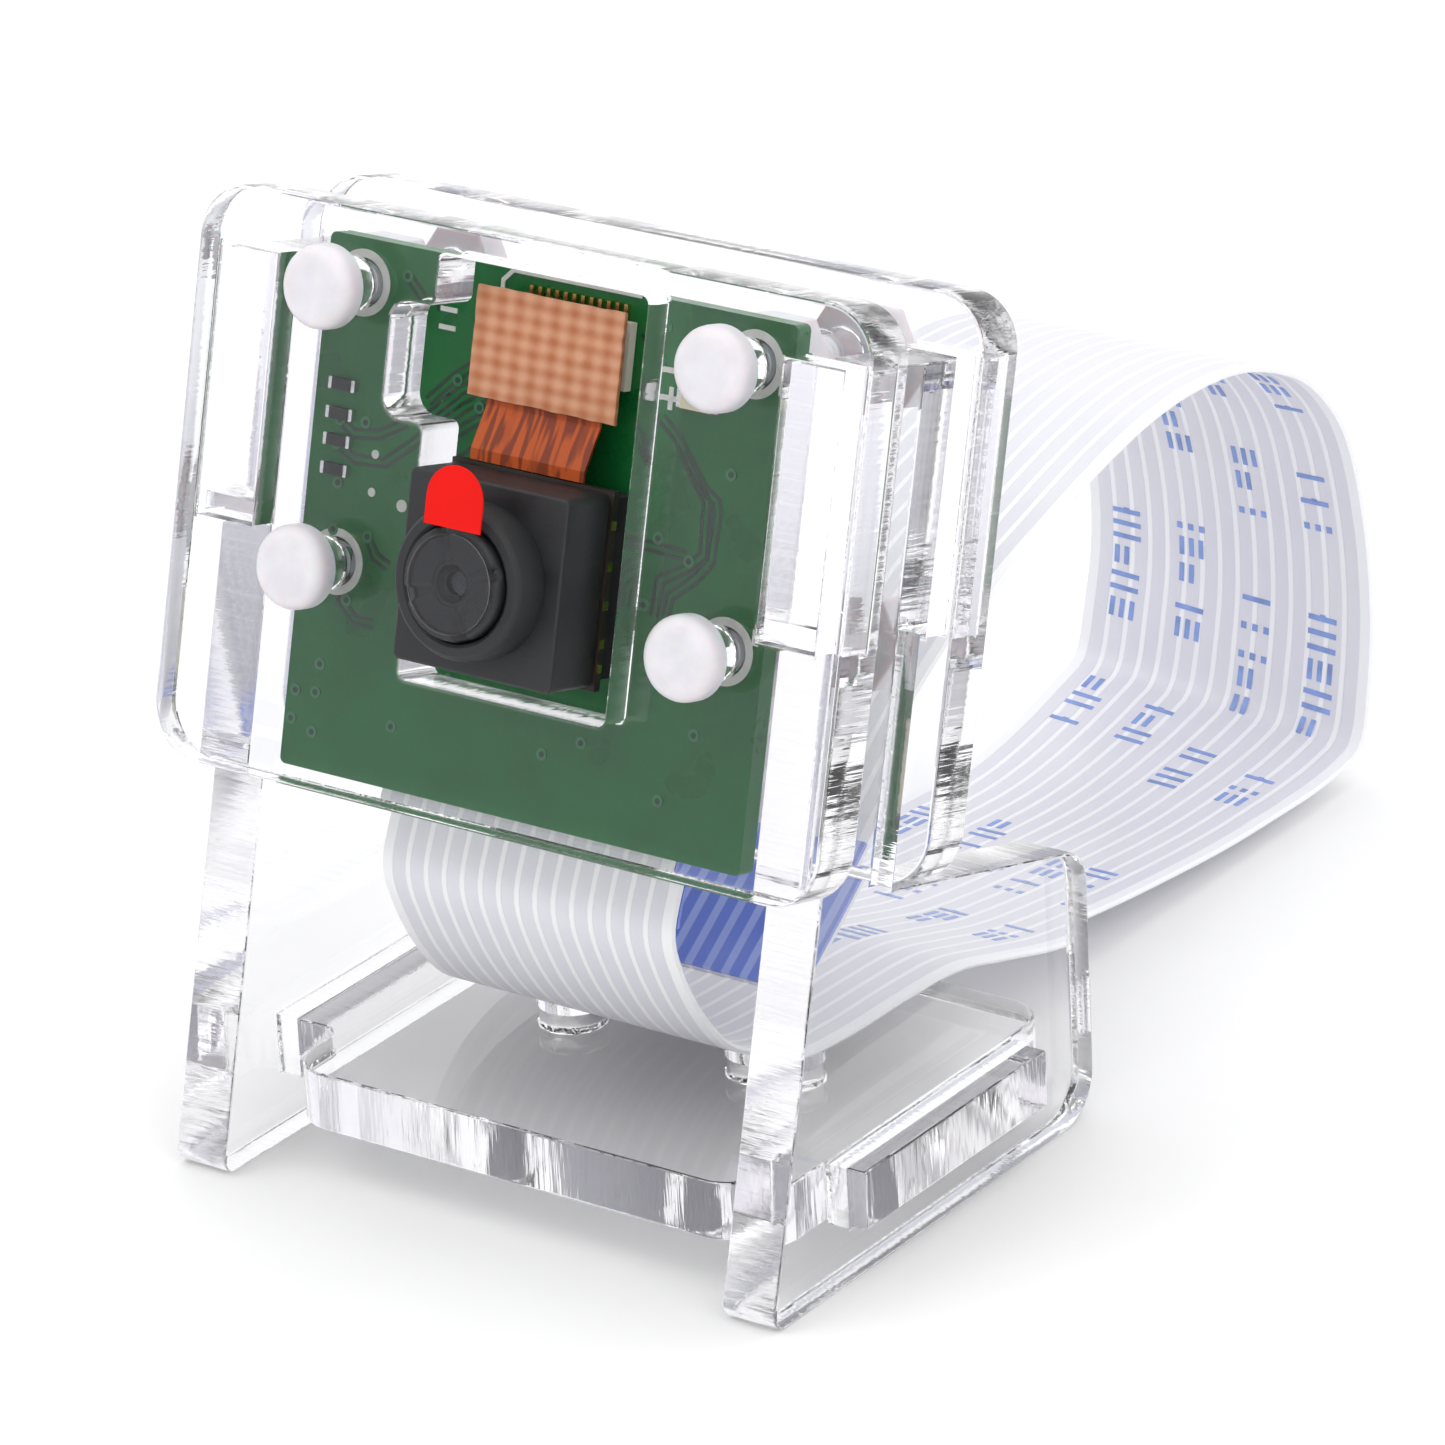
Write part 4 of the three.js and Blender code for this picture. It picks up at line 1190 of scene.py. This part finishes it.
class HOLDER_OT_camera_module(bpy.types.Operator):
    """Make the camera: housing, focus barrel, lens, film and pull tab"""

    bl_idname = "holder.camera_module"
    bl_label = "Camera module"

    def execute(self, context):
        axis = head_matrix() @ Matrix.Translation((LENS_X, LENS_V, 0))
        self.housing()
        self.barrel(axis)
        dress("lens_element", "glass")
        dress("ir_filter", "filter")
        dress("image_sensor", "silicon")
        dress("sensor_substrate", "carrier")
        dress("foam_pad", "foam")
        # Gold pads on the right-hand edge of the sensor's carrier.
        edge = LENS_X + 4.35
        middles = [LENS_V + v for v in (-3.4, -2.3, -0.6, 1.1, 2.9)]
        pads = [rectangle(edge - 0.02, v - 0.2, edge + 0.05, v + 0.2) for v in middles]
        decals("carrier_pads", pads, 1.7, 0.3, "gold", middle=0)
        self.film(axis)
        return {"FINISHED"}

    @staticmethod
    def housing():
        """A square box with a round boss; its walls stop short of the board at the back."""
        half = 4.25
        box = [Vector((x + LENS_X, y + LENS_V)) for x, y in rectangle(-half, -half, half, half, 0.35)]
        place = head_matrix() @ Matrix.Translation((0, 0, 0.25))
        loops = [box, ring(LENS_X, LENS_V, 2.62, 64)]
        body = slab("housing_box", loops, 3.1, place, "black", cut_edges=False)
        axis = head_matrix() @ Matrix.Translation((LENS_X, LENS_V, 0))
        profile = [
            (2.6, 1.7), (3.42, 1.7), (3.46, 1.95), (3.4, 3.3), (3.3, 3.5),
            (3.16, 3.6), (2.8, 3.6), (2.66, 3.5), (2.6, 3.3),
        ]
        boss = lathe("housing_boss", profile, axis, "black", sides=72)
        stand_in(body, "sensor_housing")

    @staticmethod
    def barrel(axis):
        """The focus barrel, with a small aperture in a shallow dish and grip notches round its face."""
        profile = [
            (0.55, 3.45), (0.62, 3.5), (0.8, 3.72), (0.84, 3.78), (1.0, 3.78), (1.03, 3.82), (2.1, 3.86),
            (2.18, 3.98), (2.3, 4.0), (2.42, 3.98), (2.5, 3.88), (2.54, 3.7), (2.54, 1.42), (1.6, 1.42),
            (1.6, 3.3), (0.55, 3.3),
        ]
        barrel = lathe("focus_barrel_shell", profile, axis, "barrel", body="focus_barrel", sides=96)
        # Four grip notches, each 0.5 mm wide, in the face's rim.
        place = Matrix.Scale(MM, 4) @ axis
        inverse = place.inverted()
        for vertex in barrel.data.vertices:
            local = inverse @ vertex.co
            radius, turn = math.hypot(local.x, local.y), math.atan2(local.y, local.x)
            offsets = [turn - math.radians(middle) + math.pi for middle in (20, 110, 200, 290)]
            near = min(abs(offset % (2 * math.pi) - math.pi) for offset in offsets)
            if local.z > 3.6 and radius > 2.05 and near < 0.11:
                local.z -= 0.32
                vertex.co = place @ local
        stand_in(barrel, "lens_barrel")

    @staticmethod
    def film(axis):
        """The clear film on the barrel's face, and its red tab."""
        disc = ring(0, 0, 2.2, 64)
        place = axis @ Matrix.Translation((0, 0, 4.09))
        film = slab("film_disc", [disc], 0.08, place, "film", 0.02, body="film", cut_edges=False)
        stand_in(film, "lens_film")
        low, high, half = 0.9 - LENS_V, 3.65 - LENS_V, 1.5
        outline = [Vector((-half, low)), Vector((half, low)), Vector((half, high - half))]
        turns = [math.pi * k / 30 for k in range(1, 30)]
        outline += [Vector((half * math.cos(t), high - half + half * math.sin(t))) for t in turns]
        outline.append(Vector((-half, high - half)))
        place = axis @ Matrix.Translation((0, 0, 4.22))
        tab = slab("red_pull_tab", [outline], 0.1, place, "red", 0.02, body="film", cut_edges=False)
        stand_in(tab, "film_pull_tab")


class HOLDER_OT_flex(bpy.types.Operator):
    """Dress the sensor's flex, its connector and the woven stiffener over it"""

    bl_idname = "holder.flex"
    bl_label = "Sensor flex and connector"

    def execute(self, context):
        dress("sensor_flex", "flex")
        dress("flex_plug", "chip")
        dress("board_receptacle", "ivory")
        half, low, high = 3.95, 5.55, 10.45
        chance = random.Random(3)
        outline = []
        corners = [(-half, low), (half, low), (half, high), (-half, high)]
        # The tape is snipped by hand, so its edges wander by a few hundredths.
        for (x0, y0), (x1, y1) in zip(corners, corners[1:] + corners[:1]):
            for k in range(12):
                t = k / 12
                jitter = chance.uniform(-0.03, 0.03)
                outline.append(Vector((-0.1 + x0 + (x1 - x0) * t + jitter, y0 + (y1 - y0) * t - jitter)))
        place = head_matrix() @ Matrix.Translation((0, 0, -2.25 + 0.125))
        tape = slab("woven_tape", [outline], 0.25, place, "copper", 0.04, cut_edges=False)
        stand_in(tape, "flex_stiffener")
        return {"FINISHED"}


STEPS = (
    HOLDER_OT_stage,
    HOLDER_OT_ribbon,
    HOLDER_OT_acrylic,
    HOLDER_OT_fasteners,
    HOLDER_OT_board,
    HOLDER_OT_front_parts,
    HOLDER_OT_back_parts,
    HOLDER_OT_camera_module,
    HOLDER_OT_flex,
)


class HOLDER_PT_panel(bpy.types.Panel):
    """Lists the settings and the steps that build the holder"""

    bl_idname = "HOLDER_PT_panel"
    bl_label = "Camera Board Holder"
    bl_space_type = "VIEW_3D"
    bl_region_type = "UI"
    bl_category = "Holder"

    def draw(self, context):
        layout = self.layout
        sizes, colours = context.scene.holder_sizes, context.scene.holder_colours
        for group in (sizes, colours):
            for key in group.__annotations__:
                layout.prop(group, key)
        for step in STEPS:
            layout.operator(step.bl_idname)


CLASSES = (HolderSizes, HolderColours, *STEPS, HOLDER_PT_panel)


def register():
    for one in CLASSES:
        bpy.utils.register_class(one)
    bpy.types.Scene.holder_sizes = bpy.props.PointerProperty(type=HolderSizes)
    bpy.types.Scene.holder_colours = bpy.props.PointerProperty(type=HolderColours)


def unregister():
    del bpy.types.Scene.holder_colours
    del bpy.types.Scene.holder_sizes
    for one in reversed(CLASSES):
        bpy.utils.unregister_class(one)


def main():
    """Builds the holder step by step."""
    register()
    for step in STEPS:
        group, name = step.bl_idname.split(".")
        getattr(getattr(bpy.ops, group), name)()


if __name__ == "__main__":
    main()
